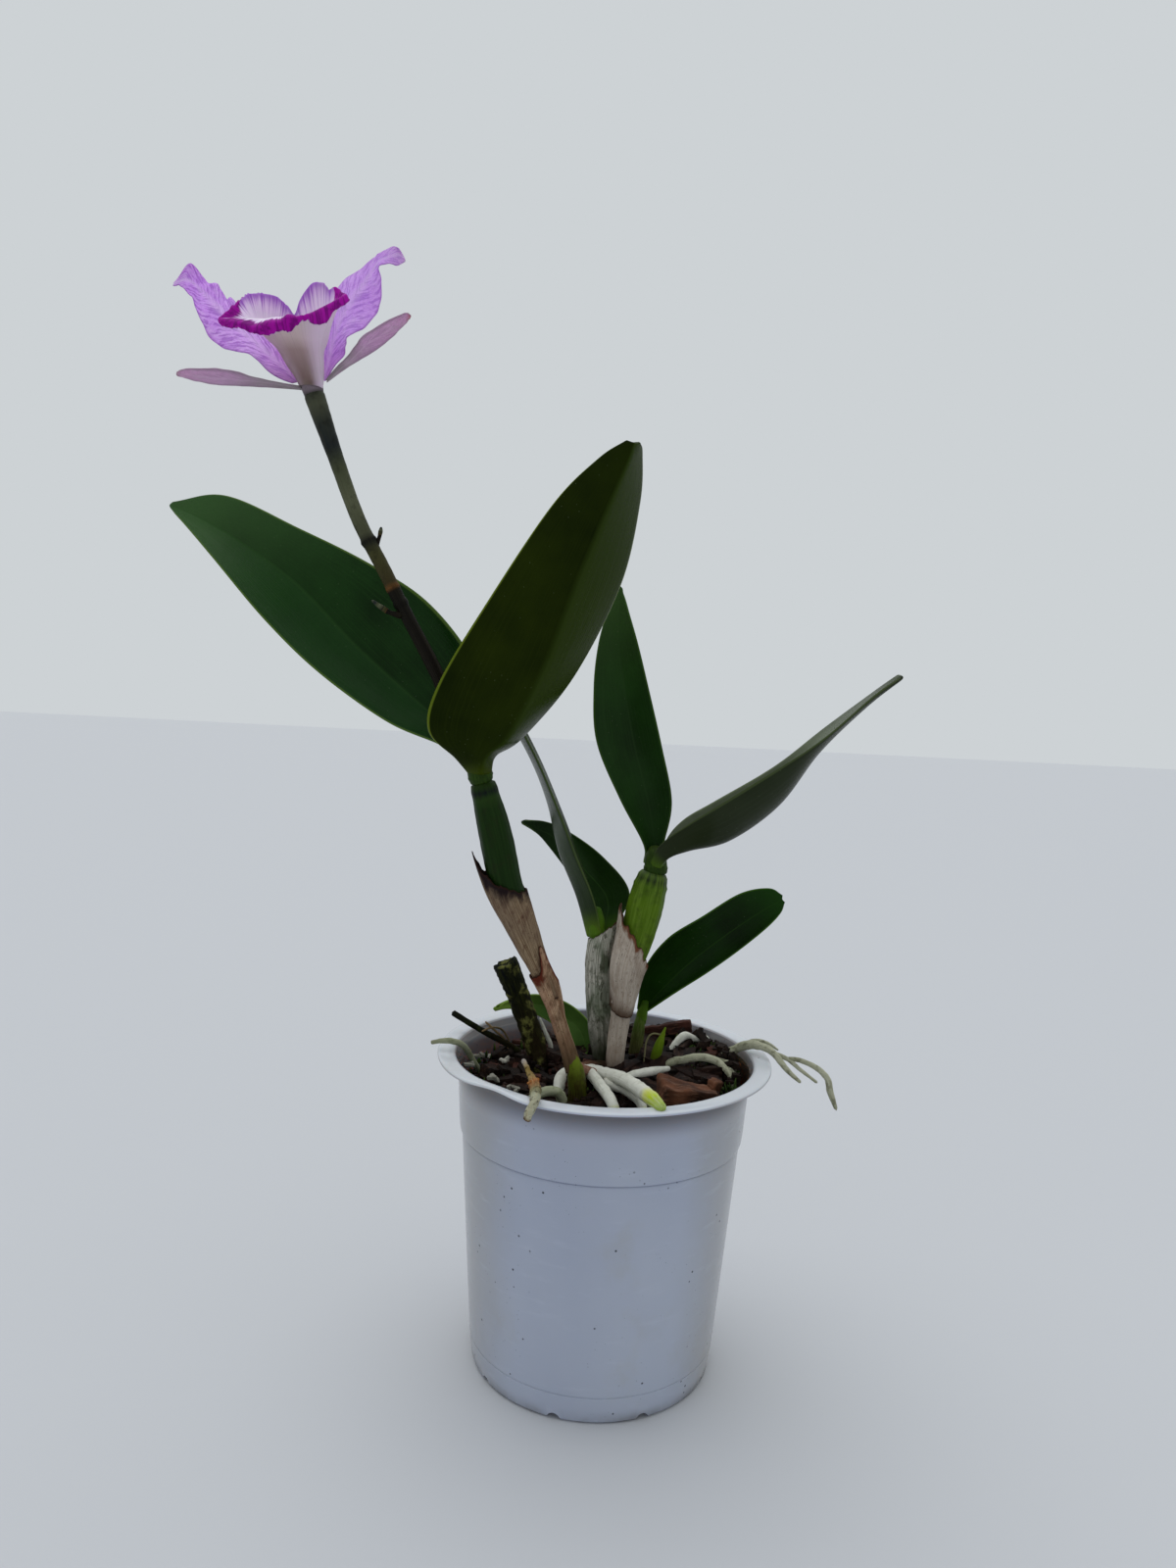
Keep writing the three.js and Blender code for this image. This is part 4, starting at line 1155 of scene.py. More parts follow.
@dataclass
class Pot:
    """The round nursery pot, turned about Z, with a dent in its rim."""

    height: float = 112.0
    rim_radius: float = 60.0
    opening_radius: float = 53.6
    collar_height: float = 85.0
    collar_radius: float = 51.0
    foot_radius: float = 43.0
    floor_thickness: float = 3.8
    drain_count: int = 9
    drain_angle: float = 14.0
    drain_ring: float = 29.0
    drain_radius: float = 2.5
    notch_radius: float = 2.4
    notch_inset: float = 1.5
    dent_angle: float = 231.0
    dent_width: float = 11.0
    dent_depth: float = 2.6
    dent_rise: float = 0.8
    oval_depth: float = 0.22
    oval_turn: float = 0.6
    notch_length: float = 10.0
    drain_length: float = 20.0
    drain_sides: int = 24
    steps: int = 180

    def profile(self) -> list[tuple[float, float]]:
        """The wall's outline, from the middle of the underside round to the floor.

        Returns:
            Radius and height of each point, in millimetres.
        """
        foot, collar, rise = self.foot_radius, self.collar_radius, self.collar_height
        rim, top, mouth = self.rim_radius, self.height, self.opening_radius
        outside = [
            (0, 0), (20, 0), (20.8, 0.5), (22, 2), (foot - 8, 2), (foot - 6.6, 0.4),
            (foot - 6, 0), (foot - 1.0, 0), (foot - 0.2, 0.35), (foot + 0.4, 1.1), (44.1, 6),
            (44.34, 8.6), (44.42, 9.3), (44.22, 9.5), (44.46, 9.7), (44.55, 10.4), (45.3, 20),
            (collar - 1.15, rise - 6), (collar - 0.85, rise - 1.6), (collar - 0.95, rise - 1.1),
            (collar - 1.25, rise - 0.85), (collar - 1.2, rise - 0.45), (collar - 0.15, rise - 0.3),
            (collar - 0.02, rise + 0.1), (collar + 0.05, rise + 0.8),
            (collar + 0.3, rise + 3), (52.3, 103), (52.6, 107), (52.9, 108.9), (53.5, 110),
            (54.6, 110.5), (rim - 1.4, 110.6), (rim - 0.5, 110.7), (rim, 111.05), (rim, 111.4),
            (rim - 0.3, 111.8), (rim - 1, top),
        ]
        inside = [
            (mouth + 1.4, top), (mouth + 0.5, top - 0.2), (mouth, top - 0.8), (51.6, 107),
            (51.3, 105), (50.8, 102), (49.4, rise), (foot - 0.6, self.floor_thickness + 0.8),
            (foot - 1.8, self.floor_thickness), (0, self.floor_thickness),
        ]
        return outside + inside

    def build(self) -> Solid:
        """Makes the pot with its notches and drain holes.

        Returns:
            The shell.
        """
        mesh = bmesh.new()
        mesh.verts.layers.float_vector.new("grain")
        verts = [mesh.verts.new((r * MM, 0, z * MM)) for r, z in self.profile()]
        edges = [mesh.edges.new(pair) for pair in zip(verts, verts[1:])]
        bmesh.ops.spin(
            mesh, geom=verts + edges, axis=(0, 0, 1), cent=(0, 0, 0), angle=math.tau,
            steps=self.steps, use_merge=True, use_duplicate=False,
        )
        bmesh.ops.remove_doubles(mesh, verts=mesh.verts, dist=1e-6)
        bmesh.ops.recalc_face_normals(mesh, faces=mesh.faces)
        self.dent(mesh)
        shell = Piece(
            "pot_shell", mesh, "pot_plastic", [PlasticFinish().material()], ["pot"], sharp_from=50
        ).make()
        self.drill(shell)
        return shell

    def dent(self, mesh: Mesh) -> None:
        """Pushes the rim in and up at one place, and pulls the wall a little off round.

        Args:
            mesh: The pot's mesh, changed in place.
        """
        for vert in mesh.verts:
            radius = math.hypot(vert.co.x, vert.co.y)
            height = vert.co.z / MM
            if radius < 40 * MM or height < 12:
                continue
            angle = math.atan2(vert.co.y, vert.co.x)
            hit = bump_at(angle, math.radians(self.dent_angle), math.radians(self.dent_width))
            hit *= smooth_step(height, 96, 111) * (0.25 + 0.75 * smooth_step(radius / MM, 54, 60))
            oval = self.oval_depth * math.cos(2 * angle + self.oval_turn)
            oval *= smooth_step(height, 12, 60)
            inward = (self.dent_depth * hit + oval) * MM
            vert.co.x -= vert.co.x / radius * inward
            vert.co.y -= vert.co.y / radius * inward
            vert.co.z += self.dent_rise * hit * MM

    def drill(self, shell: Solid) -> None:
        """Cuts the foot notches and drain holes out of the shell.

        Args:
            shell: The pot, whose mesh is replaced.
        """
        cutter = bmesh.new()
        for i in range(self.drain_count):
            angle = math.radians(self.drain_angle + i * 360 / self.drain_count)
            turn = Matrix.Rotation(angle, 4, "Z")
            slot = Matrix.Translation(((self.foot_radius - self.notch_inset) * MM, 0, 0))
            slot = turn @ slot @ Matrix.Rotation(math.pi / 2, 4, "Y")
            hole = turn @ Matrix.Translation((self.drain_ring * MM, 0, 0))
            for radius, depth, where in (
                (self.notch_radius, self.notch_length, slot),
                (self.drain_radius, self.drain_length, hole),
            ):
                bmesh.ops.create_cone(
                    cutter, cap_ends=True, segments=self.drain_sides, radius1=radius * MM,
                    radius2=radius * MM, depth=depth * MM, matrix=where,
                )
        data = bpy.data.meshes.new("drain_cutter")
        cutter.to_mesh(data)
        cutter.free()
        tool = link("drain_cutter", data)
        cut = shell.modifiers.new("drains", "BOOLEAN")
        cut.object = tool
        cut.solver = "EXACT"
        bpy.context.view_layer.update()
        graph = bpy.context.evaluated_depsgraph_get()
        drilled = bpy.data.meshes.new_from_object(shell.evaluated_get(graph))
        shell.modifiers.clear()
        shell.data = drilled
        bpy.data.objects.remove(tool)


# The bark mix.


@dataclass
class BarkMix:
    """What fills the pot: a dark bed, chunks of bark, chips, grit, moss and pale bits.

    A scatter is a count, the ranges of its pieces' three sizes, its rise and its cuts.
    """

    surface: float = 101.5
    slope: tuple[float, float] = (0.05, 0.05)
    heap: float = 3.2
    spread: float = 49.5
    chunks: Scatter = (62, ((10, 18), (6, 11), (3.5, 6)), 1.8, 4)
    chips: Scatter = (150, ((5, 9), (3, 5), (1.5, 3)), 3.2, 2)
    ruddy_chips: Scatter = (60, ((4, 8), (2.5, 4.5), (1.5, 3)), 3.6, 2)
    grit: Scatter = (420, ((1.5, 3), (1, 2), (0.8, 1.5)), 3.6, 0)
    banked: int = 54
    bank_sizes: Ranges = ((3, 5.5), (2, 3), (2, 3.5))
    bank_radius: float = 50.4
    bank_from: float = -5.0
    bank_sweep: float = 92.0
    bed_radius: float = 49.8
    bed_rings: int = 33
    bed_drop: float = 3.0
    bed_lumps: float = 2.4
    bed_bottom: float = 85.0
    bed_taper: float = 0.97
    tufts: int = 900
    moss_radius: float = 49.0
    moss_least: float = 0.22
    root_bits: tuple[Point, ...] = (
        (-48, -2, 105.6), (-36, 5, 105.2), (-38.5, -15, 105.5), (-45, 8, 105.6), (-30, -27, 105.5),
    )
    root_bit_count: int = 15
    root_bit_sizes: Ranges = ((2.2, 5), (1.1, 1.9), (0.9, 1.6))
    dead_root: Point = (-23.3, -42, 113.6)
    flakes: int = 9
    flake_sizes: Ranges = ((1, 2.2), (0.8, 1.5), (0.5, 0.9))
    edge_angle: float = 40.0
    seed: int = 7

    def __post_init__(self) -> None:
        """Starts the seeded draws."""
        self.draw = random.Random(self.seed)

    def height(self, x: float, y: float) -> float:
        """The bed's height at a place: level, a little sloped, heaped at the right."""
        heap = self.heap * smooth_step(0.94 * x + 0.34 * y, 30, 50) * smooth_step(y, -12, 10)
        return self.surface + self.slope[0] * x + self.slope[1] * y + heap

    def spot(self, i: int, count: int, reach: float) -> tuple[float, float]:
        """One of many evenly spread places, knocked a little aside.

        Args:
            i: The place's number.
            count: How many there are.
            reach: Half the piece's length.

        Returns:
            The place, in millimetres.
        """
        turn = i * math.pi * (3 - math.sqrt(5)) + self.draw.uniform(-0.3, 0.3)
        radius = (self.spread - reach) * math.sqrt((i + 0.5) / count)
        return radius * math.cos(turn), radius * math.sin(turn)

    def sized(self, ranges: Ranges) -> list[float]:
        """Three sizes drawn from their ranges."""
        return [self.draw.uniform(low, high) for low, high in ranges]

    def chunk(
        self, size: Sequence[float], at: Point | Vector, turn: float, tilt: float, cuts: int = 2
    ) -> Mesh:
        """One broken piece of bark: a box with its corners knocked about and worn.

        Args:
            size: Its length, width and height in millimetres.
            at: Its middle.
            turn: Its turn about Z, in radians.
            tilt: Its tilt, in radians.
            cuts: How finely it is worn; at 0 it stays a box.

        Returns:
            The mesh, in metres.
        """
        mesh = bmesh.new()
        grain = mesh.verts.layers.float_vector.new("grain")
        bmesh.ops.create_cube(mesh, size=1.0)
        for vert in mesh.verts:
            vert.co = [c * s * self.draw.uniform(0.72, 1.05) for c, s in zip(vert.co, size)]
        if cuts:
            bmesh.ops.subdivide_edges(mesh, edges=mesh.edges, cuts=cuts, use_grid_fill=True)
            bmesh.ops.smooth_vert(
                mesh, verts=mesh.verts, factor=0.35, use_axis_x=True, use_axis_y=True, use_axis_z=True
            )
        lie = Matrix.Rotation(turn, 4, "Z") @ Matrix.Rotation(tilt * 0.6, 4, "X")
        lie = lie @ Matrix.Rotation(tilt, 4, "Y")
        for vert in mesh.verts:
            vert[grain] = [c * MM for c in (vert.co.y, vert.co.x, vert.co.z)]
        bmesh.ops.transform(mesh, matrix=Matrix.Translation(at) @ lie, verts=mesh.verts)
        bmesh.ops.scale(mesh, vec=(MM, MM, MM), verts=mesh.verts)
        if cuts:
            roughen(mesh, min(size) * 0.16, min(size) * 0.55, self.draw.uniform(0, 50))
        return mesh

    def scatter(self, count: int, sizes: Ranges, rise: float, cuts: int) -> Mesh:
        """Many pieces of bark lying on the bed.

        Args:
            count: How many there are.
            sizes: The ranges of their sizes.
            rise: How high above the bed one may lie.
            cuts: How finely each is worn.

        Returns:
            All of them in one mesh.
        """
        made = []
        for i in range(count):
            size = self.sized(sizes)
            x, y = self.spot(i, count, math.hypot(*size) / 2)
            at = (x, y, self.height(x, y) + self.draw.uniform(0, rise))
            turn, tilt = self.draw.uniform(0, math.pi), self.draw.uniform(-0.45, 0.45)
            made.append(self.chunk(size, at, turn, tilt, cuts))
        return join_meshes(made)

    def crumbs(
        self, places: Sequence[Point], count: int, apart: Point, sizes: Ranges, lean: float,
        kept: int = 0, reach: float = 1.0, cuts: int = 2,
    ) -> Mesh:
        """Small pieces lying about a few places.

        Args:
            places: The places, used in turn.
            count: How many pieces there are.
            apart: How far they stray each way, as shares of the reach.
            sizes: The ranges of their sizes.
            lean: Their largest tilt, in radians.
            kept: How many lie right on their places.
            reach: How far they stray, in millimetres.
            cuts: How finely each is worn.

        Returns:
            All of them in one mesh.
        """
        made = []
        for i in range(count):
            away = Vector([self.draw.uniform(-reach, reach) * s for s in apart])
            at = Vector(places[i % len(places)]) + (away if i >= kept else Vector())
            size = self.sized(sizes)
            turn, tilt = self.draw.uniform(0, 3), self.draw.uniform(-lean, lean)
            made.append(self.chunk(size, at, turn, tilt, cuts))
        return join_meshes(made)

    def bank(self) -> Mesh:
        """Small very dark pieces heaped against the wall, from the right round to the back; their near-black
        is partly painted deep shade there.

        Returns:
            All of them in one mesh.
        """
        made = []
        for i in range(self.banked):
            turned = self.bank_sweep * (i + self.draw.uniform(-0.5, 0.5)) / self.banked
            angle = math.radians(self.bank_from + turned)
            size = self.sized(self.bank_sizes)
            radius = self.bank_radius - math.hypot(*size) / 2 - self.draw.uniform(0, 2.5)
            x, y = radius * math.cos(angle), radius * math.sin(angle)
            at = (x, y, self.height(x, y) + self.draw.uniform(0.5, 4.5))
            turn, tilt = self.draw.uniform(0, 3), self.draw.uniform(-0.8, 0.8)
            made.append(self.chunk(size, at, turn, tilt))
        return join_meshes(made)

    def bed(self) -> Mesh:
        """The dark body under the chunks.

        Returns:
            The mesh, in metres.
        """
        mesh = bmesh.new()
        mesh.verts.layers.float_vector.new("grain")
        bmesh.ops.create_circle(mesh, cap_ends=False, segments=96, radius=self.bed_radius * MM)
        rim = list(mesh.edges)
        for ring in range(1, self.bed_rings + 1):
            grown = bmesh.ops.extrude_edge_only(mesh, edges=rim)["geom"]
            rim = [g for g in grown if isinstance(g, bmesh.types.BMEdge)]
            for vert in (g for g in grown if isinstance(g, bmesh.types.BMVert)):
                vert.co = vert.co.normalized() * self.bed_radius * MM * 0.93**ring
        bmesh.ops.holes_fill(mesh, edges=rim, sides=0)
        for vert in mesh.verts:
            x, y = vert.co.x / MM, vert.co.y / MM
            lump = noise.fractal(Vector((x / 9, y / 9, 3.1)), 0.8, 2.0, 4)
            vert.co.z = (self.height(x, y) - self.bed_drop + self.bed_lumps * lump) * MM
        under = bmesh.ops.extrude_face_region(mesh, geom=list(mesh.faces))["geom"]
        for vert in (g for g in under if isinstance(g, bmesh.types.BMVert)):
            vert.co.z = self.bed_bottom * MM
            vert.co.x *= self.bed_taper
            vert.co.y *= self.bed_taper
        bmesh.ops.recalc_face_normals(mesh, faces=mesh.faces)
        return mesh

    def moss(self) -> Mesh:
        """Tufts of moss in patches, thickest along the wall.

        Returns:
            All of them in one mesh.
        """
        made = []
        for _ in range(self.tufts):
            angle = self.draw.uniform(0, math.tau)
            radius = self.moss_radius * math.sqrt(self.draw.uniform(0.1, 1))
            x, y = radius * math.cos(angle), radius * math.sin(angle)
            patch = noise.noise(Vector((x / 14, y / 14, 8.0)))
            patch += 0.6 * smooth_step(radius, 38, self.moss_radius)
            if patch < self.moss_least:
                continue
            tall = self.draw.uniform(1.2, 3.2)
            lean = Matrix.Rotation(self.draw.uniform(-0.6, 0.6), 4, "X")
            lean = Matrix.Rotation(self.draw.uniform(0, math.tau), 4, "Z") @ lean
            at = Matrix.Translation((x, y, self.height(x, y) + 0.9 + tall / 2))
            tuft = bmesh.new()
            tuft.verts.layers.float_vector.new("grain")
            bmesh.ops.create_cone(
                tuft, cap_ends=True, segments=5, radius1=self.draw.uniform(0.5, 1.0),
                radius2=0.12, depth=tall, matrix=at @ lean,
            )
            bmesh.ops.scale(tuft, vec=(MM, MM, MM), verts=tuft.verts)
            made.append(tuft)
        return join_meshes(made)

    def build(self) -> None:
        """Makes the bed and everything loose on it."""
        # The darkest bark, on the bed, chips and bank, is near-black partly as painted deep shade between
        # and behind the pieces.
        dark = BarkFinish("bark_dark_and_shade").material()
        brown = BarkFinish("bark_brown", "#070403", "#2a1812", "#5a4234").material()
        red = BarkFinish("bark_red", "#2a1810", "#6d4530", "#98725c", 0.7).material()
        ruddy = BarkFinish("bark_ruddy", "#190c09", "#4c2a21", "#85604e").material()
        pale = BarkFinish("old_root_bits", "#66645a", "#b2b0a4", "#cbcabf", 0.8).material()
        crust = BarkFinish("root_crust", "#5e3416", "#b0753f", "#cf9d69", 0.85).material()
        Piece("bark_bed", self.bed(), "bark", [dark], ["bark_mix"]).make()
        for name, kind, skin in (
            ("bark_chunks", self.chunks, brown),
            ("bark_chips", self.chips, dark),
            ("bark_ruddy_chips", self.ruddy_chips, ruddy),
        ):
            Piece(name, self.scatter(*kind), "bark", [skin], sharp_from=self.edge_angle).make()
        Piece("bark_bank", self.bank(), "bark", [dark], sharp_from=self.edge_angle).make()
        Piece("bark_grit", self.scatter(*self.grit), "bark", [brown]).make()
        for name, size, at, turn, tilt, cuts, skin, smoothing in (
            ("bark_red_chunk", (20, 15, 12), (27, -23.5, 104.6), 0.1, 0.12, 8, red, 1),
            ("bark_pink_bit", (5.5, 4, 4.5), (38, -17, 107), 0.9, 0.2, 4, red, 0),
            ("bark_strip", (24, 4.5, 5), (24, 36, 110), 0, -0.2, 6, ruddy, 0),
        ):
            mesh = self.chunk(size, at, turn, tilt, cuts)
            Piece(name, mesh, "bark", [skin], smoothing=smoothing).make()
        bits = self.crumbs(
            self.root_bits, self.root_bit_count, (1, 1, 0.15), self.root_bit_sizes, 0.4,
            kept=len(self.root_bits), reach=3, cuts=3,
        )
        Piece("old_root_bits", bits, "root", [pale], smoothing=1).make()
        flakes = self.crumbs(
            [self.dead_root], self.flakes, (1.7, 3.5, 0.9), self.flake_sizes, 0.9
        )
        Piece("root_flakes", flakes, "dead_root", [crust]).make()
        Piece("moss", self.moss(), "bark", [MossFinish().material()]).make()


# Stems, bulbs and sheaths.

# A limb is its spine and its radii, and a blade its left margin, midrib and right margin.
BULB_FRONT = Limb(
    ((-7.5, -21, 98), (-9.5, -21, 108.5), (-15.5, -22, 126), (-20, -22, 138), (-26, -23, 151),
     (-31.5, -24, 163.5), (-36.5, -24.5, 175.5), (-41, -25, 193), (-46.1, -26.1, 210.8)),
    (2.2, 2.2, 1.5, 2, 2.7, 4.4, 5.3, 5.4, 4), ribs=8, rib_depth=0.03,
)
FRONT_FOOT = Limb(
    ((-9, -22.5, 98), (-9.2, -22.5, 105), (-10.1, -22.4, 112), (-11.9, -22.2, 119.6)),
    (3.3, 3.2, 2.8, 0.9),
)
FRONT_BASE = Limb(
    ((-15, -21.6, 121.5), (-12.3, -20, 115.5), (-8.4, -15.5, 110.5), (-4.2, -9, 106.5), (-1, -4, 103)),
    (1.2, 1.6, 1.8, 2.1, 2),
)
BULB_RIGHT = Limb(
    ((3.5, 5, 98), (4, 5, 104), (5, 5, 120.5), (6, 5, 130.5), (7, 5, 142.5), (10, 6, 153.5),
     (12.5, 6.5, 166), (15, 6.5, 178.2)),
    (2.4, 2.4, 2.8, 3.5, 5.1, 5.8, 6.3, 5), ribs=8, rib_depth=0.05,
)
BULB_LEFT = Limb(
    ((0, 14, 98), (0, 14, 103), (-1, 13.5, 114.5), (-2, 13, 127.5), (-2.5, 13, 137.5), (-3, 12.5, 146),
     (-4.3, 12.3, 151)),
    (2.6, 2.6, 3.2, 3.8, 4, 3, 2.6),
)
WRAP_LEFT = Limb(
    ((0, 14, 98), (0, 14, 103), (-1.2, 13.5, 114.5), (-2.4, 13, 127.5), (-3, 13, 137.5), (-3, 12.8, 146),
     (-2.2, 12.8, 151), (-0.8, 12.8, 157), (0.7, 12.5, 163)),
    (2.6, 2.8, 3.6, 4.3, 4.6, 4.4, 4.1, 3.9, 2.9),
)
BULB_SMALL = Limb(
    ((12.2, 20, 97), (12.3, 20, 104.2), (13, 20, 114), (13.8, 20.6, 120)),
    (2.7, 2.7, 2.3, 1.8),
)
YOUNG_SHOOT = Limb(((18.6, 9.5, 98), (19, 9, 106), (20.2, 8, 112.5), (22.2, 7, 119.8)), (1.6, 1.9, 1.7, 0.3))
TENDRIL = Limb(
    ((21.4, 7.4, 116.6), (17.5, 7.6, 116.8), (15.6, 8, 114), (15.1, 8, 109), (14.8, 8, 101)),
    (0.3, 0.35, 0.35, 0.3, 0.3),
)
OLD_STUB = Limb(
    ((-23.5, 14.5, 98), (-24.9, 14, 106), (-28, 13.2, 115), (-31.6, 12.4, 124.5), (-35, 11.4, 133),
     (-38.7, 10.6, 141.4)),
    (3.9, 4, 4, 4.1, 4.3, 4.8),
)
OLD_STALK = Limb(
    ((-30, 19, 98), (-33, 19, 104.5), (-46.5, 16, 112.5), (-57.2, 13, 119.6)),
    (1.2, 1.2, 1.1, 1.1),
)
TWIGS = (
    Limb(((-45, 15.5, 116), (-41, 17, 112), (-37.5, 18, 108.5), (-35, 18, 103)), (0.4, 0.5, 0.5, 0.4)),
    Limb(((-46, 14, 112.5), (-42, 16.5, 113.5), (-38, 18.5, 111.5), (-34, 19, 104)), (0.3, 0.4, 0.4, 0.3)),
)
RHIZOME = Limb(
    ((-8.5, -16, 103.5), (-9, -7, 104), (-6, 3, 103.5), (0, 9.5, 102), (7, 12, 101.5), (13, 15.5, 101)),
    (2.8, 3.2, 3.2, 3.1, 3, 2.4),
)
RINGS: dict[str, tuple] = {
    "pseudobulb_front": ((0.968, 0.006, 0.3), (0.12, 0.01, 0.5)),
    "pseudobulb_right": ((0.93, 0.012, 0.4), (0.985, 0.01, 0.3)),
}


@dataclass
class Shoots:
    """The pseudobulbs, the young shoot, the old stub and stalk, the runner and the sheaths."""

    green: Stops = ((0.0, "#3a3a10"), (0.12, "#38490f"), (0.6, "#0f2506"), (0.93, "#142a08"))
    bright: Stops = ((0.0, "#4b5020"), (0.5, "#465f12"), (0.85, "#4d6a0e"), (0.95, "#3a520e"))
    stub_break: float = 4.0
    paper_thickness: float = 0.35

    def skins(self) -> dict[str, tuple[Limb, str, float, SkinFinish]]:
        """Each node's limb, slot, unevenness and finish.

        Returns:
            Those four by node.
        """
        front = self.green + ((0.955, "#223a10"), (0.968, "#070d12"), (0.981, "#1c3009"))
        right = self.bright[:-1] + (
            (0.93, "#415c0f"), (0.955, "#1c2a12"), (0.975, "#3c4e24"), (0.99, "#26381a"),
        )
        dark: Stops = ((0.0, "#33261a"), (0.35, "#221c0e"), (0.7, "#0d0f08"), (0.97, "#0c1010"))
        small: Stops = ((0.2, "#35301a"), (0.5, "#454622"), (0.75, "#41561a"), (1.0, "#4a6a12"))
        young: Stops = ((0.3, "#413f17"), (0.6, "#55700f"), (1.0, "#6f881c"))
        runner: Stops = ((0.0, "#5a3a2c"), (0.3, "#6b4c3b"), (0.5, "#2e2117"), (1.0, "#231a10"))
        stub = ("#30330f", 0.6, "#868748", 0.65, 190, 0.85, 0.7, 1.1)
        stalk = ("#33351a", 0.4, "#3c4a1c", 0.3, 300, 0.85, 0.3, 0.3)
        rows = {
            "pseudobulb_front": (BULB_FRONT, 0.02, "bulb_front_skin", front, "#243d14"),
            "pseudobulb_right": (BULB_RIGHT, 0.02, "bulb_right_skin", right, "#6f8a30", 0.5),
            "pseudobulb_left": (BULB_LEFT, 0.03, "bulb_left_skin", self.green, "#566b2a"),
            "pseudobulb_small": (
                BULB_SMALL, 0.03, "bulb_small_skin", small, "#6d7148", 0.5, "#2c2818", 0.4,
            ),
            "young_shoot": (YOUNG_SHOOT, 0.02, "young_shoot_skin", young, "#8fa632", 0.25),
            "old_cut_stem": (OLD_STUB, 0.12, "old_stub_skin", dark, *stub),
            "old_flower_stalk": (OLD_STALK, 0.12, "old_stalk_skin", dark, *stalk),
            "rhizome": (
                RHIZOME, 0.1, "runner_skin", runner, "#7d6048", 0.35, "#2a2a12", 0.55, 220, 0.75,
                0.4, 0.5,
            ),
        }
        slots = {"old_cut_stem": "old_stem", "old_flower_stalk": "old_stem", "rhizome": "rhizome"}
        return {
            node: (limb, slots.get(node, "pseudobulb"), lumps, SkinFinish(*look))
            for node, (limb, lumps, *look) in rows.items()
        }

    def sheaths(self) -> dict[str, tuple[tuple[Sheath, ...], PaperFinish]]:
        """Each sheath's layers and finish.

        Returns:
            Those two by node.
        """
        upper = Sheath(
            BULB_FRONT, 0.36,
            lambda a: 0.71 + 0.04 * (1 - math.cos(a)) + 0.05 * bump_at(a, math.pi, 0.3),
            flare=lambda a: 2.2 * bump_at(a, math.pi, 0.5), crumple=0.5,
        )
        lower = Sheath(
            BULB_FRONT, 0.15,
            lambda a: 0.45 + 0.08 * bump_at(a, -0.75, 0.5) - 0.05 * bump_at(a, 0.3, 0.5),
            gap=0.35, flare=lambda a: 1.0, tear=0.006, crumple=0.55,
        )
        right = Sheath(
            BULB_RIGHT, 0.335, lambda a: 0.6 + 0.09 * (1 - math.cos(a)) + 0.05 * bump_at(a, math.pi, 0.4),
            gap=0.75, foot=lambda a: 0.03 * (1 + math.sin(a - 0.5)), tear=0.022,
            flare=lambda a: 1.4 * bump_at(a, math.pi, 0.7) + 0.7 * bump_at(a, -0.3, 0.6), crumple=0.5,
        )
        right_low = Sheath(BULB_RIGHT, 0.13, lambda a: 0.42, gap=0.1, crumple=0.7)
        left = Sheath(
            WRAP_LEFT, 0.14, lambda a: 0.82 + 0.12 * math.cos(a), gap=0.2, tear=0.02,
            flare=lambda a: 0.8 * bump_at(a, 0.2, 0.8), crumple=0.75,
        )
        return {
            "sheath_front_upper": (
                (upper,),
                PaperFinish(
                    "paper_front_upper", "#a08c70", "#5e442f", "#1c1012", "#4d2f24", 0.5, 0.84,
                    "#4a3020", 0.1, "#6d5b4c", 0.45,
                ),
            ),
            "sheath_front_lower": (
                (lower,),
                PaperFinish(
                    "paper_front_lower", "#c6aa8c", "#825a3a", "#5b2415", "#4a2e1c", 0.6, 0.9,
                    "#5a4630", 0.5, "#a57860", 0.45,
                ),
            ),
            "sheath_right": (
                (right, right_low),
                PaperFinish(
                    "paper_right", "#c4b9ac", "#ae9f90", "#6e4630", "#8a7766", 0.45, 0.93,
                    "#4e3a2c", 0.3, "#988d80", 0.35,
                ),
            ),
            "sheath_left": (
                (left,),
                PaperFinish(
                    "paper_left", "#d2cfc2", "#6f6f62", "#6a4a32", "#3f4430", 0.8, 0.97,
                    "#2f3320", 0.3, "#5b6a50", 0.55,
                ),
            ),
        }

    def splinter(self, mesh: Mesh) -> None:
        """Breaks the stub's top unevenly, and hollows its middle.

        Args:
            mesh: The stub's mesh, changed in place.
        """
        tip, below = (Vector(p) for p in (OLD_STUB.spine[-1], OLD_STUB.spine[-2]))
        axis = (tip - below).normalized()
        for vert in mesh.verts:
            rise = (vert.co / MM - tip).dot(axis)
            if rise < -self.stub_break:
                continue
            out = (vert.co / MM - tip - axis * rise).length / OLD_STUB.radii[-1]
            height = 1.6 * noise.noise(vert.co / MM * 0.45) + 1.2 * noise.noise(vert.co / MM * 1.3)
            share = smooth_step(rise, -self.stub_break, 0)
            vert.co += axis * share * (height - 2.2 * (1 - min(out, 1.0) ** 2)) * MM

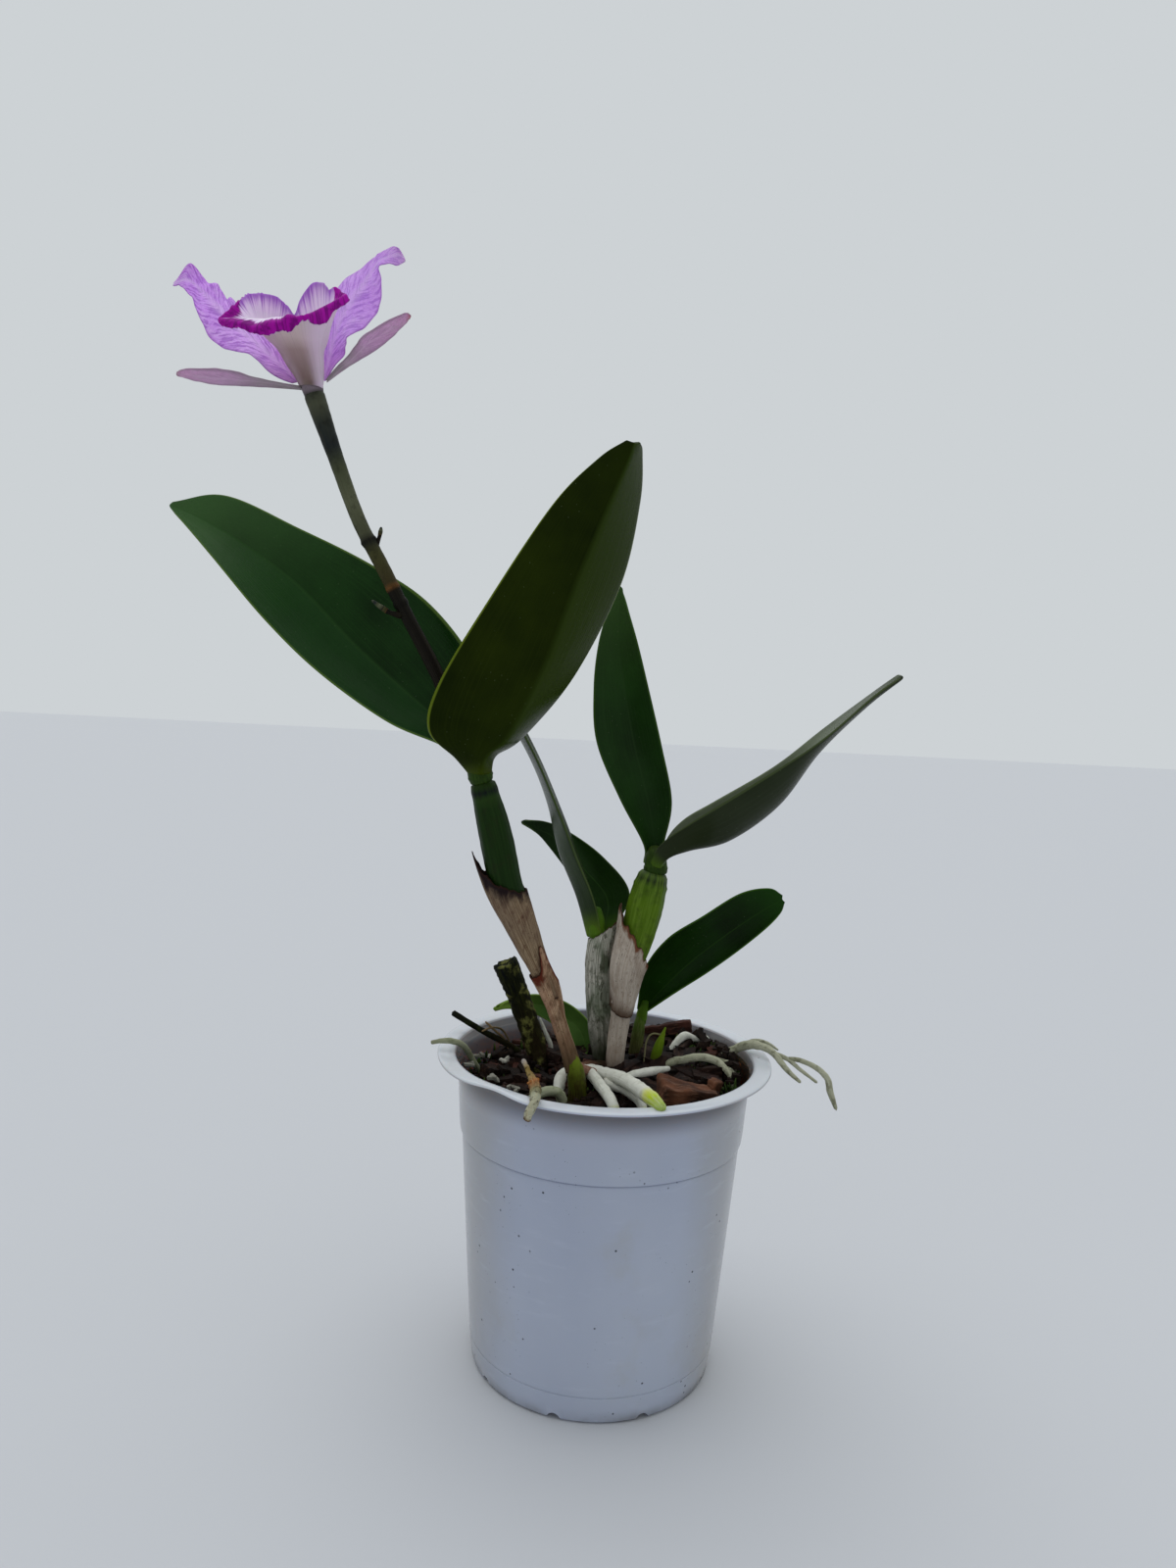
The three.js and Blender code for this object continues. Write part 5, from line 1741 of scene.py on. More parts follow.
    def build(self) -> None:
        """Makes every limb and sheath."""
        for node, (limb, slot, lumps, finish) in self.skins().items():
            mesh = limb.mesh(32, 72, 0.5, lumps, RINGS.get(node, ()))
            if node == "old_cut_stem":
                self.splinter(mesh)
            Piece(f"{node}_body", mesh, slot, [finish.material()], [node]).make()
        olive: Stops = ((0.3, "#2c2810"), (0.6, "#484e14"), (0.85, "#687a1c"), (1.0, "#5a6818"))
        ruddy: Stops = ((0.0, "#7a5238"), (0.4, "#8f6a58"), (1.0, "#6b4636"))
        dry: Stops = ((0.0, "#8a7352"), (0.6, "#4e4530"))
        pale: Stops = ((0.0, "#7d7a55"), (1.0, "#8d8768"))
        foot = SkinFinish("bulb_foot_skin", olive, "#5f6c18", 0.35, "#2e150c", 0.5, 330)
        base = SkinFinish(
            "bulb_base_skin", ruddy, "#b3927c", 0.45, "#4a1f16", 0.55, 620, 0.75, 0.3, 0.5
        )
        twig = SkinFinish("twig_skin", dry, "#a58c66", 0.5)
        thread = SkinFinish("tendril_skin", pale, "#5c5a3c")
        for name, limbs, shape, slot, finish in (
            ("bulb_front_foot", [FRONT_FOOT], (24, 40, 0.8, 0.05), "pseudobulb", foot),
            ("bulb_front_base", [FRONT_BASE], (20, 48, 0.5, 0.16), "rhizome", base),
            ("dry_twigs", TWIGS, (8, 30, 0.9, 0.2), "old_stem", twig),
            ("tendril", [TENDRIL], (8, 40, 0.9, 0.1), "root", thread),
        ):
            mesh = join_meshes([limb.mesh(*shape) for limb in limbs])
            Piece(name, mesh, slot, [finish.material()]).make()
        for seed, (node, (layers, finish)) in enumerate(self.sheaths().items()):
            mesh = join_meshes([layer.mesh(seed * 3.7 + i) for i, layer in enumerate(layers)])
            Piece(
                f"{node}_paper", mesh, "dry_sheath", [finish.material()], [node],
                thickness=self.paper_thickness,
            ).make()


# Roots.

ROOTS: dict[str, tuple[Limb, ...]] = {
    "roots_front": (
        Limb(
            ((-8, -2, 104.5), (-4.4, -3.5, 105.6), (0, -10, 106.7), (4.4, -17.2, 108.5), (9, -29, 110.5),
             (14.5, -47.1, 112.6), (17.4, -56, 112.8)),
            (1.9, 2.3, 2.5, 2.5, 2.4, 2.4, 1.6),
        ),
        Limb(
            ((0, -15, 106.5), (1.9, -17.1, 105.7), (7.8, -22.9, 105.7), (12.5, -30.5, 104), (15, -36, 98)),
            (1.6, 1.6, 1.6, 1.5, 1.4),
        ),
        Limb(
            ((-7.5, -3, 106), (-5.5, -10, 107.5), (-2.3, -20.4, 107.5), (2.4, -35.4, 106), (5, -41, 97)),
            (1.7, 1.9, 2, 1.9, 1.6),
        ),
    ),
    "root_middle": (
        Limb(
            ((5.5, -12.5, 105), (8.7, -11.9, 107), (16, -8.5, 108), (23.7, -4.6, 108.3)),
            (1.5, 1.6, 1.6, 0.9),
        ),
    ),
    "root_front_left": (
        Limb(
            ((-13.5, -2, 104), (-14, -7, 106.3), (-15.3, -13, 105.6), (-15.6, -19, 103), (-14.5, -22, 100)),
            (0.8, 1.2, 2, 1.9, 1.2),
        ),
    ),
    "root_old_grey": (
        Limb(
            ((-14.2, -28.5, 101), (-14.4, -29.2, 104.3), (-15.6, -30.3, 106.7), (-18.2, -32, 107.9),
             (-21.4, -34.5, 107.9), (-24.4, -37.5, 106.3), (-26.7, -38.7, 102)),
            (1.8, 1.8, 1.7, 1.7, 1.7, 1.6, 1.5),
        ),
    ),
    "root_dead": (
        Limb(
            ((-28.3, -18, 113.1), (-27, -24, 113.2), (-25.6, -30, 113.3), (-24, -37, 113.2),
             (-22.9, -44, 113.5), (-22.4, -52, 114.1), (-22.6, -58.5, 114), (-23.6, -61.8, 111.6),
             (-24.4, -62.2, 109.3)),
            (0.8, 0.8, 0.9, 1.3, 1.7, 1.5, 1.5, 1.4, 1.2),
        ),
    ),
    "root_rim_left": (
        Limb(
            ((-62, -6.5, 114), (-58, -7.5, 115.2), (-54, -7.5, 115.2), (-50.5, -4, 112.5), (-48, 2, 106),
             (-45, 5, 100)),
            (0.7, 0.9, 1.1, 1.1, 1.1, 1),
        ),
    ),
    "root_right": (
        Limb(
            ((21, 4.6, 104.5), (24.8, 4.2, 107.6), (28.5, 5, 108.4), (35.6, 6.5, 109.2), (41, 3.5, 109.2),
             (43.8, -1.5, 108), (46, -4.5, 105.5), (46.5, -7, 102.5)),
            (1.3, 1.4, 1.4, 1.5, 1.4, 1.2, 1, 0.8),
        ),
        Limb(((40.3, 5, 109), (44, 3, 109), (47, 2.2, 108.3), (49.3, 1.2, 105.5)), (1.1, 1.1, 1, 0.8)),
        Limb(((43, -0.4, 108.3), (46, -1.8, 107.2), (48.6, -3.5, 104.5)), (1, 1, 0.8)),
    ),
    "root_rim_right": (
        Limb(
            ((40.5, 9, 104), (44.5, 8.5, 109.5), (49, 8.5, 112.5), (53, 6, 115), (57, 3, 115.6),
             (60.5, -0.5, 114.8), (63.5, -4, 112), (66, -6, 109.5), (70, -8, 106.5)),
            (1.4, 1.5, 1.6, 1.7, 1.5, 1.3, 1.1, 0.9, 0.6),
        ),
        Limb(((61, -0.5, 114.3), (66, -0.5, 112.5), (71, -1.5, 109), (77, -3, 105)), (0.9, 0.8, 0.7, 0.5)),
        Limb(
            ((66, -0.5, 112.5), (71, 0, 112), (77, 0, 109.5), (81, 0, 106), (82.5, 0, 101), (85, -1, 94.5)),
            (0.8, 0.9, 1, 1.1, 1.2, 0.7),
        ),
        Limb(((51.5, 8, 114), (55.5, 8, 116), (60, 7, 115.6), (64, 6, 113.4)), (0.9, 0.8, 0.6, 0.35)),
    ),
    "root_back_right": (
        Limb(
            ((24, 19, 101), (26.5, 22, 107), (31, 25.5, 111), (35.5, 26.5, 109.8), (39.5, 26.5, 109.8),
             (42, 26, 105)),
            (1.2, 1.3, 1.6, 1.2, 1.4, 1.2),
        ),
    ),
    "root_behind": (
        Limb(
            ((-19.4, 20, 98), (-19.8, 19.7, 105.5), (-21.6, 19, 110.5), (-24.6, 18.4, 117.5)),
            (0.9, 0.9, 0.8, 0.4),
        ),
    ),
}


@dataclass
class Roots:
    """The roots: chalky white, greenish or dead."""

    chalk: Stops = ((0.0, "#8d7f6a"), (0.12, "#c9c9bd"), (0.78, "#d3d4c8"))
    grey: Stops = ((0.0, "#8b8a72"), (0.5, "#a5a88d"), (1.0, "#8f927a"))
    lumps: float = 0.13
    dead_lumps: float = 0.42

    def finish(self, node: str) -> SkinFinish:
        """The finish of a root by its node's name.

        Args:
            node: The node's name.

        Returns:
            Its finish.
        """
        if node == "root_dead":
            tan: Stops = (
                (0.0, "#cfc8c8"), (0.14, "#b5a27c"), (0.22, "#8f7630"), (0.36, "#a58a58"),
                (0.47, "#a8683a"), (0.6, "#858260"), (0.7, "#babca2"), (0.93, "#c4c2a8"),
                (0.97, "#5e3a26"),
            )
            return SkinFinish("dead_root", tan, "#cdb98a", 0.4, "#38240f", 0.7, 520, 0.85, 0.7, 1.3)
        if node in ("root_old_grey", "root_rim_left"):
            return SkinFinish(node, self.grey, "#7d8a62", 0.5, "#566039", 0.45, 240, 0.8, 0.3, 0.3)
        if node in ("root_right", "root_rim_right"):
            warm: Stops = ((0.0, "#9a9a80"), (0.5, "#c2c2aa"), (1.0, "#b0b096"))
            return SkinFinish(node, warm, "#7f8562", 0.5, "#4c4a30", 0.5, 420, 0.78, 0.4, 0.5)
        stops = self.chalk
        if node == "roots_front":
            stops = self.chalk + ((0.82, "#c6ca5a"), (0.87, "#b2c41f"), (1.0, "#8fa917"))
        return SkinFinish(node, stops, "#e6e6dd", 0.5, "#9c9d88", 0.3, 300, 0.75, 0.2, 0.15)

    def build(self) -> None:
        """Makes every root."""
        for node, runs in ROOTS.items():
            dead = node == "root_dead"
            lumps = self.dead_lumps if dead else self.lumps
            shapes = [(20, 90, 0.9, lumps)] + [(16, 40, 0.9, lumps)] * (len(runs) - 1)
            mesh = join_meshes([run.mesh(*shape) for run, shape in zip(runs, shapes)])
            skin = self.finish(node).material()
            Piece(f"{node}_skin", mesh, "dead_root" if dead else "root", [skin], [node]).make()


# Leaves.

LEAVES: dict[str, Blade] = {
    "leaf_front": Blade(
        ((-50.2, -28, 212.2), (-54.7, -30.5, 217.3), (-63.5, -33, 226), (-60, -38, 241), (-44, -46, 268),
         (-25.5, -54, 296), (-12.5, -59, 309), (-4.4, -62, 314)),
        ((-46, -31, 212.2), (-44, -35, 219), (-36.5, -38, 226.5), (-26, -44, 248.5), (-17.5, -52, 273),
         (-9.5, -58, 294.5), (-4.5, -61, 307), (-2.5, -62.2, 313.4)),
        ((-42.8, -28, 212.6), (-41.5, -28, 218.6), (-33.5, -24, 224.5), (-17.5, -26, 245), (-3.5, -33, 275),
         (1, -43, 299.5), (0.5, -54, 312), (-0.5, -60, 314)),
        keel=0.75,
    ),
    "leaf_back": Blade(
        ((-43.3, -24, 213), (-43.8, -25, 227), (-50, -21, 248), (-67, -16, 268), (-89, -10, 281),
         (-115, -3, 292.5), (-143, 4, 303.6), (-163.3, 7.8, 301)),
        ((-48, -21.3, 212.4), (-55, -17, 223.2), (-72.5, -12, 236), (-94, -6, 253), (-115, -2, 272.5),
         (-136.5, 3, 287), (-153, 6, 295.5), (-164.4, 8, 299.8)),
        ((-51, -24, 212.6), (-59, -24, 220.3), (-79, -20, 227.5), (-103.5, -17, 243), (-123.5, -13, 260),
         (-143.5, -5, 280), (-156, 2.5, 291.8), (-163.8, 7.6, 298.6)),
        keel=0.45,
    ),
    "leaf_left_edge_on": Blade(
        ((-2.8, 9.8, 152), (-6.6, 8, 166), (-13, 7, 180), (-21, 7, 198), (-29.5, 9, 215.5),
         (-39.5, 14, 232), (-44.5, 21, 239)),
        ((-7.7, 12.4, 150.6), (-12.6, 15, 165.5), (-20, 18, 181.5), (-25, 20, 199), (-31.5, 21, 214),
         (-41, 22, 230), (-46, 22, 238)),
        ((-3, 15.4, 152), (-7, 21, 165), (-12.8, 27, 178.5), (-20.5, 31, 195.5), (-29.5, 31, 214.5),
         (-39, 28, 231.5), (-44, 23, 239)),
    ),
    "leaf_left_behind": Blade(
        ((0.6, 13.6, 152.5), (7, 20, 166.5), (-3.6, 25.5, 179), (-17.5, 31, 187.5), (-26.5, 33.5, 190.5),
         (-34.5, 34.5, 190.5)),
        ((-2.4, 15.6, 151), (-1, 23, 163), (-10.5, 29.5, 173.5), (-21, 33, 183.5), (-29.5, 34.5, 187.5),
         (-36, 35, 190)),
        ((-6, 15.2, 152), (-9.5, 23.5, 161), (-16, 30, 170.5), (-24.5, 33, 180.5), (-30, 34, 186),
         (-35.5, 34.5, 189.3)),
    ),
    "leaf_right_upright": Blade(
        ((11, 7.5, 180), (10.5, 8, 187), (1, 9, 203), (-8.5, 12, 223), (-10.5, 17, 242.5), (-9.5, 22, 259),
         (-6.5, 26, 272), (-3.5, 29, 280.5)),
        ((13.5, 10, 179.5), (14.5, 11, 186.5), (12, 15, 201), (6, 19, 221.5), (1.5, 23, 242),
         (-1.5, 26, 260.5), (-2, 28, 273.5), (-2.5, 29, 281.5)),
        ((16.5, 8, 180), (18, 8, 188.5), (20, 9, 203), (15.5, 12, 222.5), (9.5, 17, 244.5), (5, 22, 260.5),
         (1, 26, 272.5), (-1.5, 29, 280.5)),
        keel=0.3,
    ),
    "leaf_right_arching": Blade(
        ((18, 5, 180), (18.5, 4, 189.5), (24.5, 6, 197), (35.5, 8, 204), (56, 8, 217.5), (72.5, 3, 232.5),
         (87, -6, 246), (93.5, -11, 252)),
        ((15.8, 2.4, 179.4), (19.5, 0, 184), (26.5, -1, 187), (40.5, -2, 191.5), (56.5, -4, 205),
         (68.5, -8, 224.5), (83, -11, 241), (94.5, -13, 251.5)),
        ((13, 4.2, 180), (16, 0, 188), (24.5, -8, 196.5), (36, -16, 206), (53.5, -18, 218.5),
         (68.5, -18, 229.5), (84.5, -15, 244), (93.5, -13.8, 251)),
        keel=0.3,
    ),
    "leaf_low_right": Blade(
        ((12.2, 20, 122), (13.5, 17, 138), (21.5, 15, 151), (34, 13, 160.5), (47, 11, 170),
         (57.5, 11, 172.5), (63, 12, 170)),
        ((13.8, 22, 121), (21.5, 20, 131), (31.5, 19, 142), (43.5, 17, 153), (53.5, 14.5, 161.5),
         (60, 12.5, 166.5), (63, 12, 168.5)),
        ((15.6, 20, 121.4), (25, 17, 129.5), (37.5, 15, 139), (48.5, 13, 148.5), (57.5, 11, 157.5),
         (62.5, 11, 163.5), (64, 12, 167.5)),
        keel=0.3,
    ),
    "leaf_low_left": Blade(
        ((-3, 25, 100.5), (-4.5, 26, 112), (-9.5, 27, 118), (-17, 28, 122), (-27.5, 29, 123.5),
         (-37, 30, 120.5), (-42.5, 31, 117)),
        ((-5.5, 26, 100), (-8.5, 28, 109.5), (-14, 30, 114), (-21.5, 31, 118), (-29.5, 31, 119.5),
         (-38, 31, 118.5), (-43.5, 31, 116.5)),
        ((-9, 25, 100.5), (-12.5, 26, 107), (-18, 27, 111.5), (-24.5, 28, 115), (-30, 29, 116.5),
         (-37, 30, 117), (-42.5, 31, 115.5)),
    ),
}

LEAF_FINISHES: dict[str, LeafFinish] = {
    # Painted sheen: the right half is lighter.
    "leaf_front": LeafFinish(
        "leaf_front", "#101a01", "#212c03", "#263007", "#26340b", "#68781f", "#354206",
        right="#2f3e12", right_lighting_share=0.8, margin_share=0.8, gloss=0.03,
    ),
    # Painted sheen: the right half is lighter.
    "leaf_back": LeafFinish(
        "leaf_back", "#0b2306", "#193a12", "#234619", "#2a4c20", "#5a7430", "#2f4a12",
        right="#264a22", right_lighting_share=0.45, tip="#476a3a", tip_share=0.65,
    ),
    "leaf_left_edge_on": LeafFinish(
        "leaf_edge_on", "#1c2a14", "#2f3f22", "#42513a", "#7d8c6c", "#66783f", "#55701a",
        margin_share=0.3,
    ),
    "leaf_left_behind": LeafFinish(
        "leaf_behind", "#12260a", "#1f3a12", "#2a461b", "#31501f", "#5c7432", "#3c5a12",
        margin_share=0.3,
    ),
    "leaf_right_upright": LeafFinish(
        "leaf_upright", "#112509", "#1c3a12", "#27441b", "#203a14", "#4c6a24", "#4c6a14",
        tip="#3a5826", tip_share=0.6, margin_share=0.25,
    ),
    # Painted reflection: the grey-greens stand for the sky on the far half; painted shade: the darker right
    # is the nearer half.
    "leaf_right_arching": LeafFinish(
        "leaf_arching", "#434b39", "#5d6650", "#67705a", "#4a583a", "#6a7a4a", "#45601a",
        right="#1c250f", right_lighting_share=0.85, margin_share=0.25,
    ),
    "leaf_low_right": LeafFinish(
        "leaf_low_right", "#0a1c03", "#143307", "#1c3c0c", "#24440f", "#3f6418", "#1c3608",
        tip="#1f4a0c", tip_share=0.5,
    ),
    "leaf_low_left": LeafFinish(
        "leaf_low_left", "#32521f", "#4f7030", "#5d7c3a", "#6c8a44", "#86a04a", "#3a5a20",
        tip="#7d9a3a", tip_share=0.8, margin_share=0.4,
    ),
}

NECKS: dict[str, Limb] = {
    "neck_front": Limb(
        ((-45.4, -25.9, 208.4), (-46.5, -26.5, 212), (-47, -27.6, 216), (-47.2, -28.8, 220)),
        (3.7, 4.1, 3.7, 1.4),
    ),
    "neck_right": Limb(
        ((15, 6.5, 176), (15.3, 6.5, 179.5), (14.9, 7.4, 183), (14.4, 8.8, 186.5)),
        (4.6, 4.2, 3.7, 1.8),
    ),
    "neck_left": Limb(
        ((-4.2, 12.3, 148.5), (-4.9, 12.5, 153), (-5.3, 13.2, 157.5), (-5.6, 14, 162)),
        (2.7, 3.1, 3.1, 1.8),
    ),
    "neck_small": Limb(((13.8, 20.8, 116), (14.1, 20.6, 120.5), (15.2, 19.8, 126)), (1.8, 2.1, 1.3)),
}


@dataclass
class Foliage:
    """The eight leaves, and the short necks that join them to their shoots."""

    thickness: float = 1.5

    def build(self) -> None:
        """Makes every leaf and neck."""
        for node, blade in LEAVES.items():
            Piece(
                f"{node}_blade", blade.mesh(20, 64), "leaf", [LEAF_FINISHES[node].material()], [node],
                thickness=self.thickness, thinnest=0.4, smoothing=1,
            ).make()
        dark: Stops = ((0.0, "#1c3009"), (0.3, "#243a0c"), (1.0, "#26340b"))
        bright: Stops = ((0.0, "#3d5a10"), (0.4, "#4f7016"), (1.0, "#35560f"))
        for name, limb in NECKS.items():
            stops = dark if name in ("neck_front", "neck_right") else bright
            skin = SkinFinish(f"{name}_skin", stops, "#45611c", 0.3, "#1c2f0c", 0.3).material()
            Piece(name, limb.mesh(24, 36, 0.5, 0.02, ((0.28, 0.03, 0.2),)), "leaf", [skin]).make()


# The flower.

TEPALS: dict[str, Blade] = {
    "sepal_left": Blade(
        ((-107.5, -35, 332), (-112.5, -39, 331.5), (-118.5, -43.5, 331.5), (-126, -47, 332.5),
         (-134, -47, 332.5), (-140, -45.5, 332.5), (-142.5, -44, 332)),
        ((-107, -33.5, 331.6), (-113.5, -36, 332), (-120.5, -38.5, 332), (-128.5, -41, 331.5),
         (-136, -42.5, 331.5), (-141, -43.5, 331.5), (-143, -43.5, 331.5)),
        ((-107, -32, 331.6), (-114.5, -33, 331.5), (-123.5, -33.5, 331.5), (-132, -35, 331),
         (-138, -38, 331), (-141.5, -41.5, 331), (-143, -43, 331)),
        keel=0.2,
    ),
    "sepal_right": Blade(
        ((-99.5, -34, 334.5), (-95.5, -36.5, 338), (-92.5, -38.5, 340), (-89.5, -40, 343), (-87, -41, 346),
         (-81.5, -42, 349.5), (-76.5, -41.5, 352.5), (-73.5, -40.5, 354), (-72.5, -39.5, 353.5)),
        ((-99.5, -32.5, 334.5), (-96, -34, 337.5), (-93, -35, 339.5), (-89.5, -36, 342.5),
         (-86, -37, 345.5), (-81, -38, 348.5), (-77, -38.5, 351), (-74, -39, 353), (-72.5, -39, 353.5)),
        ((-100, -31, 334.5), (-96.5, -31.5, 337), (-93.5, -32, 339), (-88.5, -32.5, 342), (-83, -33, 345.5),
         (-79, -34, 348.5), (-76, -35.5, 351), (-74, -37, 352.5), (-73, -38.5, 353)),
        keel=0.2,
    ),
    "sepal_dorsal": Blade(
        ((-107.5, -28, 334), (-114.5, -18, 342), (-121, -6, 351), (-124.5, 5, 358), (-123, 13, 363)),
        ((-106.3, -27.3, 334), (-110.5, -17, 342), (-115.5, -5, 350.5), (-119.5, 6, 358),
         (-122.5, 14, 363.5)),
        ((-105, -27.5, 334.3), (-106, -18, 342.5), (-109, -6, 351.5), (-114, 5, 358.5), (-121, 13, 363)),
        keel=0.2,
    ),
    "petal_left": Blade(
        ((-110, -33, 333.5), (-114, -34.5, 334), (-117.5, -36, 335.5), (-121, -37, 339), (-125, -37, 341),
         (-131, -37, 342), (-135.5, -36.5, 345), (-139, -35, 350), (-141.5, -33, 354.5), (-143.5, -31, 359),
         (-146, -29.5, 361.5), (-148, -28.5, 363), (-149, -28, 363), (-150.5, -28, 362.5)),
        ((-109.5, -31, 334), (-114, -29, 338.5), (-119.5, -27.5, 343), (-125, -26.5, 347.5),
         (-130, -26, 351), (-134, -26, 354.5), (-137, -25.5, 357.5), (-139.5, -25.5, 360), (-142, -25, 362),
         (-144, -25, 364), (-146, -25, 365.5), (-148, -25, 366), (-149.5, -25.5, 365), (-151, -26.5, 364)),
        ((-109, -29.5, 335), (-113, -25, 343), (-119, -20.5, 351.5), (-127, -17.5, 358), (-133, -16, 361.5),
         (-136.5, -15.5, 364.5), (-137.5, -16, 363), (-139, -17, 366), (-140, -18, 368.5),
         (-142.5, -19, 368), (-145, -20.5, 370.5), (-147.5, -22, 372), (-150, -23.5, 367.5),
         (-151.5, -25.5, 365)),
        keel=0.2, wave=0.5, waves=2.5,
    ),
    "petal_right": Blade(
        ((-99.5, -31, 336), (-97, -31.5, 340.5), (-95, -31, 343.5), (-94.5, -30.5, 346.5),
         (-93.5, -30, 349), (-89, -28.5, 352.5), (-86, -27, 357.5), (-85, -25.5, 363.5),
         (-85.5, -23.5, 370), (-86.5, -21, 374.5), (-84, -19.5, 376), (-81, -18.5, 376.5), (-79, -18, 378)),
        ((-101, -29, 335.5), (-101, -26.5, 340), (-100.5, -25, 345), (-99.5, -24, 350.5), (-98, -22.5, 357),
         (-95.5, -21, 363), (-92.5, -20, 367.5), (-90.5, -19, 371.5), (-88.5, -18, 375.5),
         (-87, -18, 377.5), (-84.5, -17.5, 379), (-81.5, -17, 380), (-79, -17.5, 379)),
        ((-103, -27.5, 336), (-104, -23, 343), (-105, -19.5, 350), (-105.5, -16.5, 357.5),
         (-104.5, -14.5, 365), (-102, -13, 370.5), (-99.5, -12.5, 374), (-94.5, -13, 376), (-90, -14, 379),
         (-88.5, -15, 380.5), (-86, -15.5, 382.5), (-83.5, -16, 383.5), (-81, -17, 382)),
        keel=0.2, wave=0.5, waves=2.5,
    ),
}

FLOWER_STEM = Limb(
    ((-46.5, -26, 211.4), (-54, -26, 227.5), (-62.7, -27, 245.5), (-72.3, -28, 262.5), (-80.3, -28.5, 277),
     (-88.9, -29, 292.5), (-96.6, -30, 311.5), (-104, -32, 331.4)),
    (2.1, 2.2, 2.3, 2.2, 2.3, 2.3, 2.5, 3.3),
)
STEM_BRACTS = (
    Limb(
        ((-84, -28.5, 283.5), (-82.3, -28.5, 286.6), (-81.8, -28.4, 289), (-81.6, -28.3, 290.6)),
        (1.5, 0.7, 0.75, 0.35),
    ),
    Limb(
        ((-73.5, -28.5, 262.5), (-77, -29.8, 263), (-80, -30.5, 264.5), (-83.4, -31, 266.8)),
        (1.4, 0.8, 0.9, 0.4),
    ),
)
RECEPTACLE = Limb(
    ((-102.6, -31.5, 327.6), (-103.8, -31.9, 331), (-104.5, -32.6, 334), (-104.9, -33.4, 336)),
    (2.6, 3.2, 3.5, 1.8),
)
COLUMN = Limb(
    ((-104.2, -32.2, 331.2), (-104.8, -33.4, 335), (-106, -35.6, 340), (-107.2, -38.5, 345)),
    (1.7, 1.6, 2, 2.2),
)


